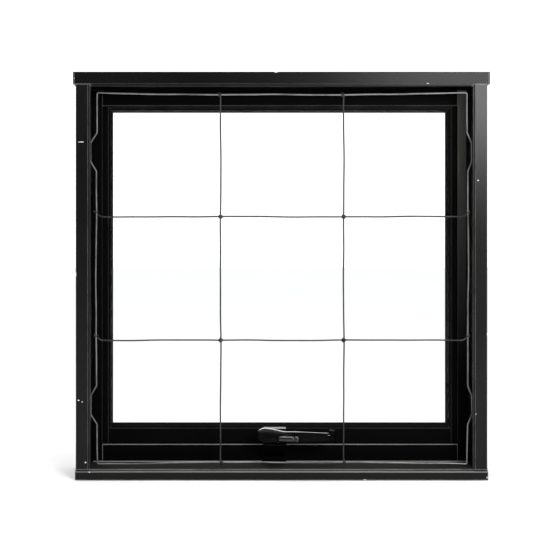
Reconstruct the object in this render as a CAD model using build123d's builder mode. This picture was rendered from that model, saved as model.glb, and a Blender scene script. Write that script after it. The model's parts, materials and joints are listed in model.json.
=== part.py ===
from build123d import *
from math import asin, cos, degrees, pi, radians, sin
import os

# Top-hung awning window unit with a wire guard and a crank operator.
# Frame: +X to the right seen from the room, +Y outdoors, +Z up, millimetres.
# The origin is at the middle of the foot of the unit. Depths are counted from the room face.

# ---------------------------------------------------------------- overall
UNIT_WIDTH = 610.0  # over the head with its end caps
UNIT_HEIGHT = 597.5
UNIT_DEPTH = 100.0

# ---------------------------------------------------------------- outer frame
FRAME_WALL = 2.0
HEAD_FACE = 18.0  # height of the head seen from the room
HEAD_OVERHANG = 4.0  # head beyond the jamb, each side
END_CAP = 1.5
JAMB_FACE = 18.0  # width of a jamb seen from the room
SILL_OVERHANG = 1.25  # sill beyond the jamb, each side
SILL_TOP = 15.5  # height of the sill's flat upper face
NOSE_FACE = 10.8  # flat front of the sill's nose, below its round lip
NOSE_LIP = 2.9  # height of the round lip
NOSE_GROOVE = 3.2  # depth of the groove behind the lip
BEAD_WIDTH = 3.5  # bead that edges the reveal, measured into the opening
BEAD_DEPTH = 4.0
BEAD_ROUND = 1.5
BEAD_SETBACK = 0.6  # bead behind the room face
SASH_POCKET = 40.0  # from the room face of the stops to the outdoor face
STOP_THICKNESS = 4.0
JAMB_STOP = 13.0  # how far the stop stands out of the jamb
HEAD_STOP = 24.0
UPSTAND = 25.5  # height of the sill's stop above the sill
SILL_RIB = 1.0  # radius of the rib along the sill in front of the upstand
RIB_AHEAD = 3.5  # rib's middle in front of the upstand
SOFT_EDGE = 0.6  # small rounding along extruded corners
SCREW_PORT = 4.2  # outer radius of a screw port inside an extrusion
FRAME_SCREW = 2.0
SCREW_CLEARANCE = 0.1
CSK_HEAD = 3.8  # radius of a countersunk head
FRAME_SCREW_LENGTH = 45.0
FRAME_SCREW_DEPTHS = (30.0, 78.0)
FIXING_HOLE = 2.6  # radius of an installation hole through a jamb
FIXING_DEPTH = 40.0
FIXING_SPACING = 360.0
WEEP_LENGTH = 22.0
WEEP_HEIGHT = 5.0
WEEP_SPACING = 400.0

# ---------------------------------------------------------------- sash
SASH_GAP = 2.0  # between a stop and the closed sash, filled by the seal
SASH_SIDE_GAP = 6.5  # between sash and jamb
SASH_FOOT_GAP = 4.0  # between sash and sill
SASH_HEAD_GAP = 11.5  # between sash and head, where the hinge is
SASH_DEPTH = 30.0
SASH_WALL = 1.8
STILE_WIDTH = 14.8
TOP_RAIL = 14.8
RAIL_FOOT = 28.0  # height of the open skirt under the bottom rail's box
RAIL_BOX = 17.1  # height of the bottom rail's box
INNER_SKIRT = 10.0  # how far the room-side skirt hangs below the box
GLASS_LIP = 3.7  # lip that holds the glass from outside
LIP_THICKNESS = 2.0
GLASS_BITE = 2.5  # how far the glass goes behind the lip
PANE = 3.0
AIR_SPACE = 8.0
SPACER_WIDTH = 2.2
GASKET = 1.0
GASKET_WIDTH = 3.2
GLAZING_BEAD_ROUND = 1.4
SETTING_BLOCK = 60.0
SEAL_WIDTH = 4.0
SEAL_SLACK = 0.15  # seal short of the closed sash
SASH_SCREW = 1.9
SASH_SCREW_LENGTH = 40.0
SASH_PORT = 3.6  # outer radius of a screw port inside a rail
SASH_PORT_DEPTH = 9.0  # port's middle behind the sash's room face

# ---------------------------------------------------------------- head hinge
HINGE_BEAD = 3.0  # radius of the bead on the sash
HINGE_CLEARANCE = 0.06
HINGE_SHELL = 1.9  # wall of the socket round the bead
HINGE_INSET = 1.0  # hinge axis in front of the sash's outdoor face
HINGE_NECK = 1.8
HINGE_OPEN_ROOM = 30.0  # half openings of the socket, measured from straight down
HINGE_OPEN_OUT = 58.0
HINGE_FLANGE = 1.5
HINGE_FLANGE_WIDTH = 17.0
HINGE_SCREW = 1.5
HINGE_SCREW_COUNT = 5

# ---------------------------------------------------------------- wire guard
GUARD_FOOT = 5.6  # lowest wire centre above the sill
GUARD_HEAD = 11.4  # highest wire centre below the head
GUARD_SHIFT = 1.4  # guard's middle to the right of the unit's
GUARD_DEPTH = 14.0
EDGE_WIRE = 1.25  # radius
CELL_WIRE = 1.1  # radius
KINK_GAP = 0.25  # kinked wire short of the jamb
KINK_OUT = 9.2  # mean depth of the kinks
KINK_STRAIGHT = 28.0
KINK_SLOPE = 14.5
KINK_INSET = 87.0  # kink centre from the nearest end wire
KINK_BEND = 3.0
EDGE_BOW = 2.4  # how far each edge leaves its straight line by the middle
WIRE_GAP = 0.1
HOOK_RISE = 5.0
HOOK_RUN = 7.0
TIE_RADIUS = 2.9
BUTT_GAP = 0.3  # between the two ends of the edge wire at its weld

# ---------------------------------------------------------------- crank operator
OPERATOR_X = -5.0  # spindle from the middle of the unit
SPINDLE_TILT = 34.0  # spindle above the horizontal, towards the room
ARM_TILT = 5.5  # arm plane rises outdoors
MESH_BEHIND = 8.5  # spindle and arm pivots behind the upstand
MESH_ABOVE = 11.1  # and above the sill
PIVOT_SPACING = 40.0
ARM_SHORT = 61.7  # pivot to roller, less than the middle to the stile
ROLLER_SETBACK = 3.0  # roller further out than the pivot when closed
ARM_THICKNESS = 4.0
ARM_WIDTH = 13.0
ARM_HUB = 7.5
PIVOT_PIN = 3.0
PIN_CLEARANCE = 0.05
PIN_HEAD = 5.5
WASHER = 0.8
SECTOR_TEETH = 24  # in a full circle
SECTOR_FROM = -6.0  # degrees from the line between the pivots, with the sash closed
SECTOR_TO = 45.0
TOOTH_DEPTH = 1.5
WORM_RADIUS = 5.0
WORM_ROOT = 3.4
WORM_LENGTH = 13.0
MESH_GAP = 0.35  # worm crest to sector tooth tip
SPINDLE = 4.0
TAIL_JOURNAL = 2.5
TAIL_LENGTH = 5.5
BUSH_OUTER = 6.0
BUSH_LENGTH = 10.0
BUSH_FLANGE = 1.5
TUBE_OUTER = 8.0
BASE_THICKNESS = 2.5
BASE_WIDTH = 98.0
BASE_BEHIND = 13.5  # base behind the spindle
BASE_SCREW_SPACING = 86.0
BASE_SCREW = 2.0
COVER_LEFT = 21.0  # cover beyond the spindle, to the left
COVER_RIGHT = 13.0
COVER_WALL = 2.2
COVER_FACE = 54.0  # distance of the cover's face from the mesh point, along the spindle
COVER_HEIGHT = 54.0  # above the sill
COVER_TOP_LENGTH = 12.5
COVER_BELOW = 12.0  # cover below the spindle, square to it
COVER_AHEAD = 5.0  # cover's foot in front of the upstand
NOTCH_HALF = 12.5  # notch in the upstand, each side of the spindle
HANDLE_REAR = 57.0
HANDLE_FRONT = 65.5
ARM_BAR_REAR = 59.5
HUB_RADIUS = 12.0
HUB_HEEL = 18.7  # hub's round end beyond the spindle
HUB_NOSE = 3.0
HANDLE_REACH = 80.0  # spindle to grip pin
HANDLE_END = 5.0  # radius of the handle's end
BAR_LOW = 0.6
BAR_HIGH = 7.0
HANDLE_DROOP = 2.5  # degrees that the stored handle hangs below level
GRIP_LOW = -9.6
GRIP_HIGH = -0.4
GRIP_CREST = 3.2  # top edge of the grip between knob and lug
GRIP_SHOULDER = 6.2  # crest short of the grip pin
GRIP_AXIS = 70.5
GRIP_THICKNESS = 5.0
GRIP_PIN = 2.0
KNOB_RADIUS = 4.5
KNOB_COLLAR = 5.1
COLLAR_LENGTH = 5.0
KNOB_START = 1.0
KNOB_END = 31.0
KNOB_STUD = 2.0
KNOB_CENTRE = -8.4
TRACK_WALL = 1.2
TRACK_INNER = 16.8
TRACK_DEPTH = 10.2
TRACK_INWARD = 38.0  # track inside the length of an arm
TRACK_OUTWARD = 34.0  # track beyond the length of an arm
ROLLER_RADIUS = 5.0
ROLLER_HEIGHT = 10.0
ROLLER_STUD = 2.5
TRACK_RIVET = 1.5

# ---------------------------------------------------------------- derived places
ROOM = -UNIT_DEPTH / 2
OUT = UNIT_DEPTH / 2
JAMB_OUT = UNIT_WIDTH / 2 - HEAD_OVERHANG
REVEAL = JAMB_OUT - JAMB_FACE
SOFFIT = UNIT_HEIGHT - HEAD_FACE
SILL_END = JAMB_OUT + SILL_OVERHANG
STOP_X = REVEAL - JAMB_STOP
STOP_DEPTH = UNIT_DEPTH - SASH_POCKET
STOP_BACK = STOP_DEPTH + STOP_THICKNESS
UPSTAND_TOP = SILL_TOP + UPSTAND
SASH_FRONT = STOP_BACK + SASH_GAP
SASH_BACK = SASH_FRONT + SASH_DEPTH
SASH_X = REVEAL - SASH_SIDE_GAP
SASH_FOOT = SILL_TOP + SASH_FOOT_GAP
SASH_TOP = SOFFIT - SASH_HEAD_GAP
STILE_X = SASH_X - STILE_WIDTH
BOX_FOOT = SASH_FOOT + RAIL_FOOT
BOX_TOP = BOX_FOOT + RAIL_BOX
TOP_RAIL_FOOT = SASH_TOP - TOP_RAIL
DAYLIGHT_X = STILE_X - GLASS_LIP
DAYLIGHT_LOW = BOX_TOP + GLASS_LIP
DAYLIGHT_HIGH = TOP_RAIL_FOOT - GLASS_LIP
GLASS_X = DAYLIGHT_X + GLASS_BITE
GLASS_LOW = DAYLIGHT_LOW - GLASS_BITE
GLASS_HIGH = DAYLIGHT_HIGH + GLASS_BITE
OUTER_PANE = SASH_BACK - LIP_THICKNESS - GASKET - PANE
INNER_PANE = OUTER_PANE - AIR_SPACE - PANE
BEAD_BACK = INNER_PANE - GASKET
HINGE_DEPTH = SASH_BACK - HINGE_INSET
HINGE_HEIGHT = SOFFIT - HINGE_BEAD - HINGE_CLEARANCE - HINGE_SHELL
HINGE_HALF = STILE_X - 4.0
LEFT = -1
RIGHT = 1
NOTCH_LEFT = OPERATOR_X - NOTCH_HALF
NOTCH_RIGHT = OPERATOR_X + NOTCH_HALF
KINK_DEEP = KINK_STRAIGHT / 2 + KINK_SLOPE
MESH_DEPTH = STOP_BACK + MESH_BEHIND
MESH_HEIGHT = SILL_TOP + MESH_ABOVE
BASE_BACK = MESH_DEPTH + BASE_BEHIND
COVER_TOP = SILL_TOP + COVER_HEIGHT
COVER_FOOT = STOP_DEPTH - COVER_AHEAD
ARM_LENGTH = STILE_X - ARM_SHORT
TRACK_START = ARM_LENGTH - TRACK_INWARD
TRACK_END = ARM_LENGTH + TRACK_OUTWARD


def y_at(depth):
    """The Y of a depth behind the room face."""
    return depth + ROOM


def side_outline(x_from, length, points):
    """A face in the side view, given as (depth, height) pairs, carried along X."""
    with BuildSketch(Plane.YZ.offset(x_from)) as face:
        with BuildLine():
            Polyline(*[(y_at(d), z) for d, z in points], close=True)
        make_face()
    extrude(face.sketch, amount=length)


def side_block(x_from, x_to, depths, heights, mode=Mode.ADD):
    """A square block between two depths and two heights."""
    with BuildSketch(Plane.YZ.offset(x_from)) as face:
        with Locations((y_at((depths[0] + depths[1]) / 2), (heights[0] + heights[1]) / 2)):
            Rectangle(depths[1] - depths[0], heights[1] - heights[0])
    extrude(face.sketch, amount=x_to - x_from, mode=mode)


def plan_block(side, xs, depths, heights, mode=Mode.ADD):
    """A block on one side of the unit; xs are counted from the middle towards that side."""
    low, high = sorted((side * xs[0], side * xs[1]))
    side_block(low, high, depths, heights, mode)


def vertical_rod(x, depth, low, high, radius, mode=Mode.ADD):
    """An upright cylinder."""
    with BuildSketch(Plane.XY.offset(low)) as face:
        with Locations((x, y_at(depth))):
            Circle(radius)
    extrude(face.sketch, amount=high - low, mode=mode)


def cross_rod(depth, height, x_from, x_to, radius, mode=Mode.ADD):
    """A cylinder along X."""
    with BuildSketch(Plane.YZ.offset(x_from)) as face:
        with Locations((y_at(depth), height)):
            Circle(radius)
    extrude(face.sketch, amount=x_to - x_from, mode=mode)


def save(piece, label):
    """Label a finished piece and write it."""
    piece.part.label = label
    export_step(piece.part, f"parts/{label}.step")


os.makedirs("parts", exist_ok=True)

# ================================================================ outer frame
head_end = UNIT_WIDTH / 2 - END_CAP
with BuildPart() as head:
    side_block(-head_end, head_end, (0, UNIT_DEPTH), (SOFFIT, UNIT_HEIGHT))
    fillet(head.edges().filter_by(Axis.X), SOFT_EDGE)
    side_block(-head_end, head_end, (FRAME_WALL, STOP_DEPTH), (SOFFIT + FRAME_WALL, UNIT_HEIGHT - FRAME_WALL),
               Mode.SUBTRACT)
    side_block(-head_end, head_end, (STOP_DEPTH + FRAME_WALL, UNIT_DEPTH - FRAME_WALL),
               (SOFFIT + FRAME_WALL, UNIT_HEIGHT - FRAME_WALL), Mode.SUBTRACT)
    side_block(-STOP_X, STOP_X, (STOP_DEPTH, STOP_BACK), (SOFFIT - HEAD_STOP, SOFFIT))
    with BuildSketch(Plane.YZ.offset(-REVEAL + BEAD_WIDTH)) as head_bead:
        with Locations((y_at(BEAD_SETBACK + BEAD_DEPTH / 2), SOFFIT - BEAD_WIDTH / 2)):
            Rectangle(BEAD_DEPTH, BEAD_WIDTH)
        fillet(head_bead.vertices().group_by(Axis.Y)[0], BEAD_ROUND)
    extrude(head_bead.sketch, amount=2 * (REVEAL - BEAD_WIDTH))
    for side in (LEFT, RIGHT):
        for depth in FRAME_SCREW_DEPTHS:
            with Locations(Location((side * (JAMB_OUT - JAMB_FACE / 2), y_at(depth), UNIT_HEIGHT))):
                CounterSinkHole(FRAME_SCREW + SCREW_CLEARANCE, CSK_HEAD + SCREW_CLEARANCE, HEAD_FACE)
save(head, "head")

with BuildPart() as head_end_caps:
    for side in (LEFT, RIGHT):
        plan_block(side, (head_end, head_end + END_CAP), (0, UNIT_DEPTH), (SOFFIT, UNIT_HEIGHT))
    fillet(head_end_caps.edges().filter_by(Axis.X), SOFT_EDGE)
save(head_end_caps, "head_end_caps")


def sill_profile():
    """The sill's solid section: nose with a round lip, flat top and upstand."""
    with BuildSketch(Plane.YZ.offset(-SILL_END)) as face:
        with BuildLine():
            lip = NOSE_FACE + NOSE_LIP
            start = (ROOM, 0)
            lip_foot = (ROOM, NOSE_FACE)
            lip_mid = (y_at(NOSE_LIP * 0.29), NOSE_FACE + NOSE_LIP * 0.71)
            lip_top = (y_at(NOSE_LIP), lip)
            Polyline((y_at(NOSE_GROOVE), SILL_TOP), (OUT, SILL_TOP), (OUT, 0), start, lip_foot)
            ThreePointArc(lip_foot, lip_mid, lip_top)
            Polyline(lip_top, (y_at(NOSE_GROOVE), lip), (y_at(NOSE_GROOVE), SILL_TOP))
        make_face()
    return face.sketch


with BuildPart() as sill:
    extrude(sill_profile(), amount=2 * SILL_END)
    for low, high in ((NOSE_GROOVE + FRAME_WALL, STOP_DEPTH), (STOP_DEPTH + FRAME_WALL, UNIT_DEPTH - FRAME_WALL)):
        side_block(-SILL_END, SILL_END, (low, high), (FRAME_WALL, SILL_TOP - FRAME_WALL), Mode.SUBTRACT)
    side_block(-STOP_X, STOP_X, (STOP_DEPTH, STOP_BACK), (SILL_TOP, UPSTAND_TOP))
    fillet(sill.edges().filter_by(Axis.X).group_by(Axis.Z)[-1], SOFT_EDGE)
    side_block(NOTCH_LEFT, NOTCH_RIGHT, (STOP_DEPTH - 1, STOP_BACK + 1), (SILL_TOP, UPSTAND_TOP + 1), Mode.SUBTRACT)
    for low, high in ((-REVEAL, OPERATOR_X - COVER_LEFT - 1.5), (OPERATOR_X + COVER_RIGHT + 1.5, REVEAL)):
        cross_rod(STOP_DEPTH - RIB_AHEAD, SILL_TOP, low, high, SILL_RIB)
    for side in (LEFT, RIGHT):
        for depth in FRAME_SCREW_DEPTHS:
            with Locations(Location((side * (JAMB_OUT - JAMB_FACE / 2), y_at(depth), 0), (180, 0, 0))):
                CounterSinkHole(FRAME_SCREW + SCREW_CLEARANCE, CSK_HEAD + SCREW_CLEARANCE, SILL_TOP)
        vertical_rod(OPERATOR_X + side * BASE_SCREW_SPACING / 2, MESH_DEPTH, SILL_TOP - FRAME_WALL - 1, SILL_TOP + 1,
                     BASE_SCREW + SCREW_CLEARANCE, Mode.SUBTRACT)
    with BuildSketch(Plane.XZ.offset(-OUT)) as weeps:
        with Locations((-WEEP_SPACING / 2, SILL_TOP / 2), (WEEP_SPACING / 2, SILL_TOP / 2)):
            SlotOverall(WEEP_LENGTH, WEEP_HEIGHT)
    extrude(weeps.sketch, amount=2 * FRAME_WALL, both=True, mode=Mode.SUBTRACT)
save(sill, "sill")

with BuildPart() as sill_end_caps:
    for side in (LEFT, RIGHT):
        for low, high in ((NOSE_GROOVE + FRAME_WALL, STOP_DEPTH),
                          (STOP_DEPTH + FRAME_WALL, UNIT_DEPTH - FRAME_WALL)):
            plan_block(side, (SILL_END - END_CAP, SILL_END), (low, high), (FRAME_WALL, SILL_TOP - FRAME_WALL))
save(sill_end_caps, "sill_end_caps")


def jamb(side):
    """A jamb: hollow box, front bead, stop and two screw ports, standing on the sill."""
    with BuildPart() as piece:
        plan_block(side, (REVEAL, JAMB_OUT), (0, UNIT_DEPTH), (SILL_TOP, SOFFIT))
        fillet(piece.edges().filter_by(Axis.Z), SOFT_EDGE)
        inside = (REVEAL + FRAME_WALL, JAMB_OUT - FRAME_WALL)
        for low, high in ((FRAME_WALL, STOP_DEPTH), (STOP_DEPTH + FRAME_WALL, UNIT_DEPTH - FRAME_WALL)):
            plan_block(side, inside, (low, high), (SILL_TOP, SOFFIT), Mode.SUBTRACT)
        plan_block(side, (STOP_X, REVEAL), (STOP_DEPTH, STOP_BACK), (SILL_TOP, SOFFIT))
        with BuildSketch(Plane.XY.offset(SILL_TOP)) as bead:
            with Locations((side * (REVEAL - BEAD_WIDTH / 2), y_at(BEAD_SETBACK + BEAD_DEPTH / 2))):
                Rectangle(BEAD_WIDTH, BEAD_DEPTH)
            fillet(bead.vertices().group_by(Axis.Y)[0], BEAD_ROUND)
        extrude(bead.sketch, amount=SOFFIT - SILL_TOP)
        for depth in FRAME_SCREW_DEPTHS:
            vertical_rod(side * (REVEAL + JAMB_OUT) / 2, depth, SILL_TOP, SOFFIT, SCREW_PORT)
            plan_block(side, (REVEAL + FRAME_WALL / 2, JAMB_OUT - FRAME_WALL / 2),
                       (depth - FRAME_WALL / 2, depth + FRAME_WALL / 2), (SILL_TOP, SOFFIT))
            vertical_rod(side * (REVEAL + JAMB_OUT) / 2, depth, SILL_TOP, SOFFIT,
                         FRAME_SCREW + SCREW_CLEARANCE, Mode.SUBTRACT)
        for offset in (-FIXING_SPACING / 2, FIXING_SPACING / 2):
            height = (SILL_TOP + SOFFIT) / 2 + offset
            low, high = sorted((side * (REVEAL - 1), side * (JAMB_OUT + 1)))
            cross_rod(FIXING_DEPTH, height, low, high, FIXING_HOLE, Mode.SUBTRACT)
    return piece


for side, name in ((LEFT, "jamb_left"), (RIGHT, "jamb_right")):
    save(jamb(side), name)


def countersunk_screw(x, y, z, downwards, length, radius, head_radius):
    """A countersunk screw whose flat head lies at z."""
    cone = head_radius - radius
    plane = Plane(origin=(x, y, z), x_dir=(1, 0, 0), z_dir=(0, 0, -1 if downwards else 1))
    with BuildSketch(plane) as head_face:
        Circle(head_radius)
    extrude(head_face.sketch, amount=cone, taper=45)
    with BuildSketch(plane) as shank_face:
        Circle(radius)
    extrude(shank_face.sketch, amount=length)


with BuildPart() as frame_screws:
    for side in (LEFT, RIGHT):
        for depth in FRAME_SCREW_DEPTHS:
            x = side * (JAMB_OUT - JAMB_FACE / 2)
            countersunk_screw(x, y_at(depth), UNIT_HEIGHT, True, FRAME_SCREW_LENGTH, FRAME_SCREW, CSK_HEAD)
            countersunk_screw(x, y_at(depth), 0, False, FRAME_SCREW_LENGTH, FRAME_SCREW, CSK_HEAD)
save(frame_screws, "frame_screws")

seal_depths = (STOP_BACK, SASH_FRONT - SEAL_SLACK)
seal_low = UPSTAND_TOP - SEAL_WIDTH + 0.8
with BuildPart() as frame_seal:
    for side in (LEFT, RIGHT):
        plan_block(side, (STOP_X + 1, STOP_X + 1 + SEAL_WIDTH), seal_depths, (seal_low, SASH_TOP))
    side_block(-STOP_X, STOP_X, seal_depths, (SASH_TOP - 2 * SEAL_WIDTH, SASH_TOP - SEAL_WIDTH))
    side_block(-STOP_X, NOTCH_LEFT, seal_depths, (seal_low, UPSTAND_TOP - SOFT_EDGE))
    side_block(NOTCH_RIGHT, STOP_X, seal_depths, (seal_low, UPSTAND_TOP - SOFT_EDGE))
save(frame_seal, "frame_seal")

# ================================================================ head hinge
hinge_axis = (y_at(HINGE_DEPTH), HINGE_HEIGHT)
socket_inner = HINGE_BEAD + HINGE_CLEARANCE
socket_outer = socket_inner + HINGE_SHELL


def down_ray(angle, reach):
    """A point at an angle from straight down, positive towards outdoors, round the hinge axis."""
    a = radians(angle)
    return (hinge_axis[0] + reach * sin(a), hinge_axis[1] - reach * cos(a))


with BuildPart() as head_hinge_rail:
    with BuildSketch(Plane.YZ.offset(-HINGE_HALF)) as socket:
        with Locations(hinge_axis):
            Circle(socket_outer)
            Circle(socket_inner, mode=Mode.SUBTRACT)
        with BuildLine():
            Polyline(hinge_axis, down_ray(-HINGE_OPEN_ROOM, 4 * HINGE_BEAD), down_ray(0, 5 * HINGE_BEAD),
                     down_ray(HINGE_OPEN_OUT, 4 * HINGE_BEAD), close=True)
        make_face(mode=Mode.SUBTRACT)
        with Locations((hinge_axis[0] - HINGE_FLANGE_WIDTH / 2, SOFFIT - HINGE_FLANGE / 2)):
            Rectangle(HINGE_FLANGE_WIDTH, HINGE_FLANGE)
        with Locations(hinge_axis):
            Circle(socket_inner, mode=Mode.SUBTRACT)
    extrude(socket.sketch, amount=2 * HINGE_HALF)
    hinge_screw_x = [(2 * i / (HINGE_SCREW_COUNT - 1) - 1) * (HINGE_HALF - 20) for i in range(HINGE_SCREW_COUNT)]
    hinge_screw_depth = HINGE_DEPTH - HINGE_FLANGE_WIDTH + 5
    for x in hinge_screw_x:
        vertical_rod(x, hinge_screw_depth, SOFFIT - 2 * HINGE_FLANGE, SOFFIT + 1, HINGE_SCREW + SCREW_CLEARANCE,
                     Mode.SUBTRACT)
save(head_hinge_rail, "head_hinge_rail")

with BuildPart() as hinge_screws:
    for x in hinge_screw_x:
        vertical_rod(x, hinge_screw_depth, SOFFIT - HINGE_FLANGE, SOFFIT, HINGE_SCREW)
        vertical_rod(x, hinge_screw_depth, SOFFIT - HINGE_FLANGE - 1.6, SOFFIT - HINGE_FLANGE, 2 * HINGE_SCREW)
save(hinge_screws, "hinge_screws")

# ================================================================ sash
port_low = (BOX_FOOT + BOX_TOP) / 2
port_high = (TOP_RAIL_FOOT + SASH_TOP) / 2
port_depth = SASH_FRONT + SASH_PORT_DEPTH
box_inside = (SASH_FRONT + SASH_WALL, SASH_BACK - SASH_WALL)
lip_depths = (SASH_BACK - LIP_THICKNESS, SASH_BACK)


def stile(side):
    """A sash stile: hollow box with the outdoor glazing lip and clearance holes for the rail screws."""
    with BuildPart() as piece:
        plan_block(side, (STILE_X, SASH_X), (SASH_FRONT, SASH_BACK), (SASH_FOOT, SASH_TOP))
        fillet(piece.edges().filter_by(Axis.Z), SOFT_EDGE)
        plan_block(side, (STILE_X + SASH_WALL, SASH_X - SASH_WALL), box_inside,
                   (SASH_FOOT + SASH_WALL, SASH_TOP - SASH_WALL), Mode.SUBTRACT)
        plan_block(side, (DAYLIGHT_X, STILE_X), lip_depths, (BOX_TOP, TOP_RAIL_FOOT))
        for height in (port_low, port_high):
            low, high = sorted((side * (STILE_X - 1), side * (SASH_X + 1)))
            cross_rod(port_depth, height, low, high, SASH_SCREW + SCREW_CLEARANCE, Mode.SUBTRACT)
    return piece


for side, name in ((LEFT, "sash_stile_left"), (RIGHT, "sash_stile_right")):
    save(stile(side), name)


def rail_port(height):
    """A screw port along a sash rail, tied to the rail's room-side wall."""
    cross_rod(port_depth, height, -STILE_X, STILE_X, SASH_PORT)
    side_block(-STILE_X, STILE_X, (SASH_FRONT + SASH_WALL / 2, port_depth),
               (height - SASH_WALL / 2, height + SASH_WALL / 2))
    cross_rod(port_depth, height, -STILE_X, STILE_X, SASH_SCREW + SCREW_CLEARANCE, Mode.SUBTRACT)


with BuildPart() as sash_top_rail:
    side_block(-STILE_X, STILE_X, (SASH_FRONT, SASH_BACK), (TOP_RAIL_FOOT, SASH_TOP))
    fillet(sash_top_rail.edges().filter_by(Axis.X), SOFT_EDGE)
    side_block(-STILE_X, STILE_X, box_inside, (TOP_RAIL_FOOT + SASH_WALL, SASH_TOP - SASH_WALL), Mode.SUBTRACT)
    side_block(-DAYLIGHT_X, DAYLIGHT_X, lip_depths, (DAYLIGHT_HIGH, TOP_RAIL_FOOT + SOFT_EDGE))
    rail_port(port_high)
    with BuildSketch(Plane.YZ.offset(-HINGE_HALF)) as hinge_bead:
        with Locations((hinge_axis[0], (SASH_TOP - SASH_WALL + HINGE_HEIGHT) / 2)):
            Rectangle(HINGE_NECK, HINGE_HEIGHT - SASH_TOP + SASH_WALL)
        with Locations(hinge_axis):
            Circle(HINGE_BEAD)
    extrude(hinge_bead.sketch, amount=2 * HINGE_HALF)
save(sash_top_rail, "sash_top_rail")

track_x = [(OPERATOR_X + side * TRACK_START, OPERATOR_X + side * TRACK_END) for side in (LEFT, RIGHT)]
rivet_x = [x0 + (x1 - x0) * t for x0, x1 in track_x for t in (0.045, 0.955)]
track_depth = SASH_FRONT + SASH_WALL + 0.2
track_middle = track_depth + TRACK_WALL + TRACK_INNER / 2

with BuildPart() as sash_bottom_rail:
    side_block(-STILE_X, STILE_X, (SASH_FRONT, SASH_BACK), (BOX_FOOT, BOX_TOP))
    side_block(-STILE_X, STILE_X, (SASH_FRONT, SASH_FRONT + SASH_WALL), (BOX_FOOT - INNER_SKIRT, BOX_FOOT + 1))
    side_block(-STILE_X, STILE_X, (SASH_BACK - SASH_WALL, SASH_BACK), (SASH_FOOT, BOX_FOOT + 1))
    side_block(-STILE_X, STILE_X, box_inside, (BOX_FOOT + SASH_WALL, BOX_TOP - SASH_WALL), Mode.SUBTRACT)
    side_block(-DAYLIGHT_X, DAYLIGHT_X, lip_depths, (BOX_TOP - SOFT_EDGE, DAYLIGHT_LOW))
    rail_port(port_low)
    for x in rivet_x:
        vertical_rod(x, track_middle, BOX_FOOT - 1, BOX_FOOT + SASH_WALL + 1, TRACK_RIVET + SCREW_CLEARANCE,
                     Mode.SUBTRACT)
save(sash_bottom_rail, "sash_bottom_rail")

with BuildPart() as sash_screws:
    for side in (LEFT, RIGHT):
        for height in (port_low, port_high):
            low, high = sorted((side * (SASH_X - SASH_SCREW_LENGTH), side * SASH_X))
            cross_rod(port_depth, height, low, high, SASH_SCREW)
            low, high = sorted((side * SASH_X, side * (SASH_X + 1.6)))
            cross_rod(port_depth, height, low, high, 2 * SASH_SCREW)
save(sash_screws, "sash_screws")


def ring(half_width, low, high, width, depths):
    """A rectangular ring that lies against the glass edge."""
    side_block(-half_width, half_width, depths, (low, high))
    side_block(-half_width + width, half_width - width, depths, (low + width, high - width), Mode.SUBTRACT)


with BuildPart() as glass_outer:
    side_block(-GLASS_X, GLASS_X, (OUTER_PANE, OUTER_PANE + PANE), (GLASS_LOW, GLASS_HIGH))
save(glass_outer, "glass_outer")

with BuildPart() as glass_inner:
    side_block(-GLASS_X, GLASS_X, (INNER_PANE, INNER_PANE + PANE), (GLASS_LOW, GLASS_HIGH))
save(glass_inner, "glass_inner")

with BuildPart() as glass_spacer:
    ring(GLASS_X, GLASS_LOW, GLASS_HIGH, SPACER_WIDTH, (INNER_PANE + PANE, OUTER_PANE))
save(glass_spacer, "glass_spacer")

with BuildPart() as glazing_gasket_outer:
    ring(STILE_X - 0.4, BOX_TOP + 0.4, TOP_RAIL_FOOT - 0.4, GASKET_WIDTH, (OUTER_PANE + PANE, SASH_BACK - LIP_THICKNESS))
save(glazing_gasket_outer, "glazing_gasket_outer")

with BuildPart() as glazing_gasket_inner:
    ring(STILE_X - 0.4, BOX_TOP + 0.4, TOP_RAIL_FOOT - 0.4, GASKET_WIDTH, (BEAD_BACK, INNER_PANE))
save(glazing_gasket_inner, "glazing_gasket_inner")

with BuildPart() as setting_blocks:
    for x in (-GLASS_X / 2, GLASS_X / 2):
        side_block(x - SETTING_BLOCK / 2, x + SETTING_BLOCK / 2, (INNER_PANE, OUTER_PANE + PANE), (BOX_TOP, GLASS_LOW))
save(setting_blocks, "setting_blocks")

bead_depths = (SASH_FRONT, BEAD_BACK)
for name, heights in (("glazing_bead_bottom", (BOX_TOP, DAYLIGHT_LOW)),
                      ("glazing_bead_top", (DAYLIGHT_HIGH, TOP_RAIL_FOOT))):
    with BuildPart() as rail_bead:
        side_block(-DAYLIGHT_X, DAYLIGHT_X, bead_depths, heights)
        opening = rail_bead.faces().sort_by(Axis.Z)[-1 if name.endswith("bottom") else 0]
        fillet(opening.edges().filter_by(Axis.X).sort_by(Axis.Y)[0], GLAZING_BEAD_ROUND)
    save(rail_bead, name)
for side, name in ((LEFT, "glazing_bead_left"), (RIGHT, "glazing_bead_right")):
    with BuildPart() as stile_bead:
        plan_block(side, (DAYLIGHT_X, STILE_X), bead_depths, (BOX_TOP, TOP_RAIL_FOOT))
        opening = stile_bead.faces().sort_by(Axis.X)[0 if side == RIGHT else -1]
        fillet(opening.edges().filter_by(Axis.Z).sort_by(Axis.Y)[0], GLAZING_BEAD_ROUND)
    save(stile_bead, name)

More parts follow.
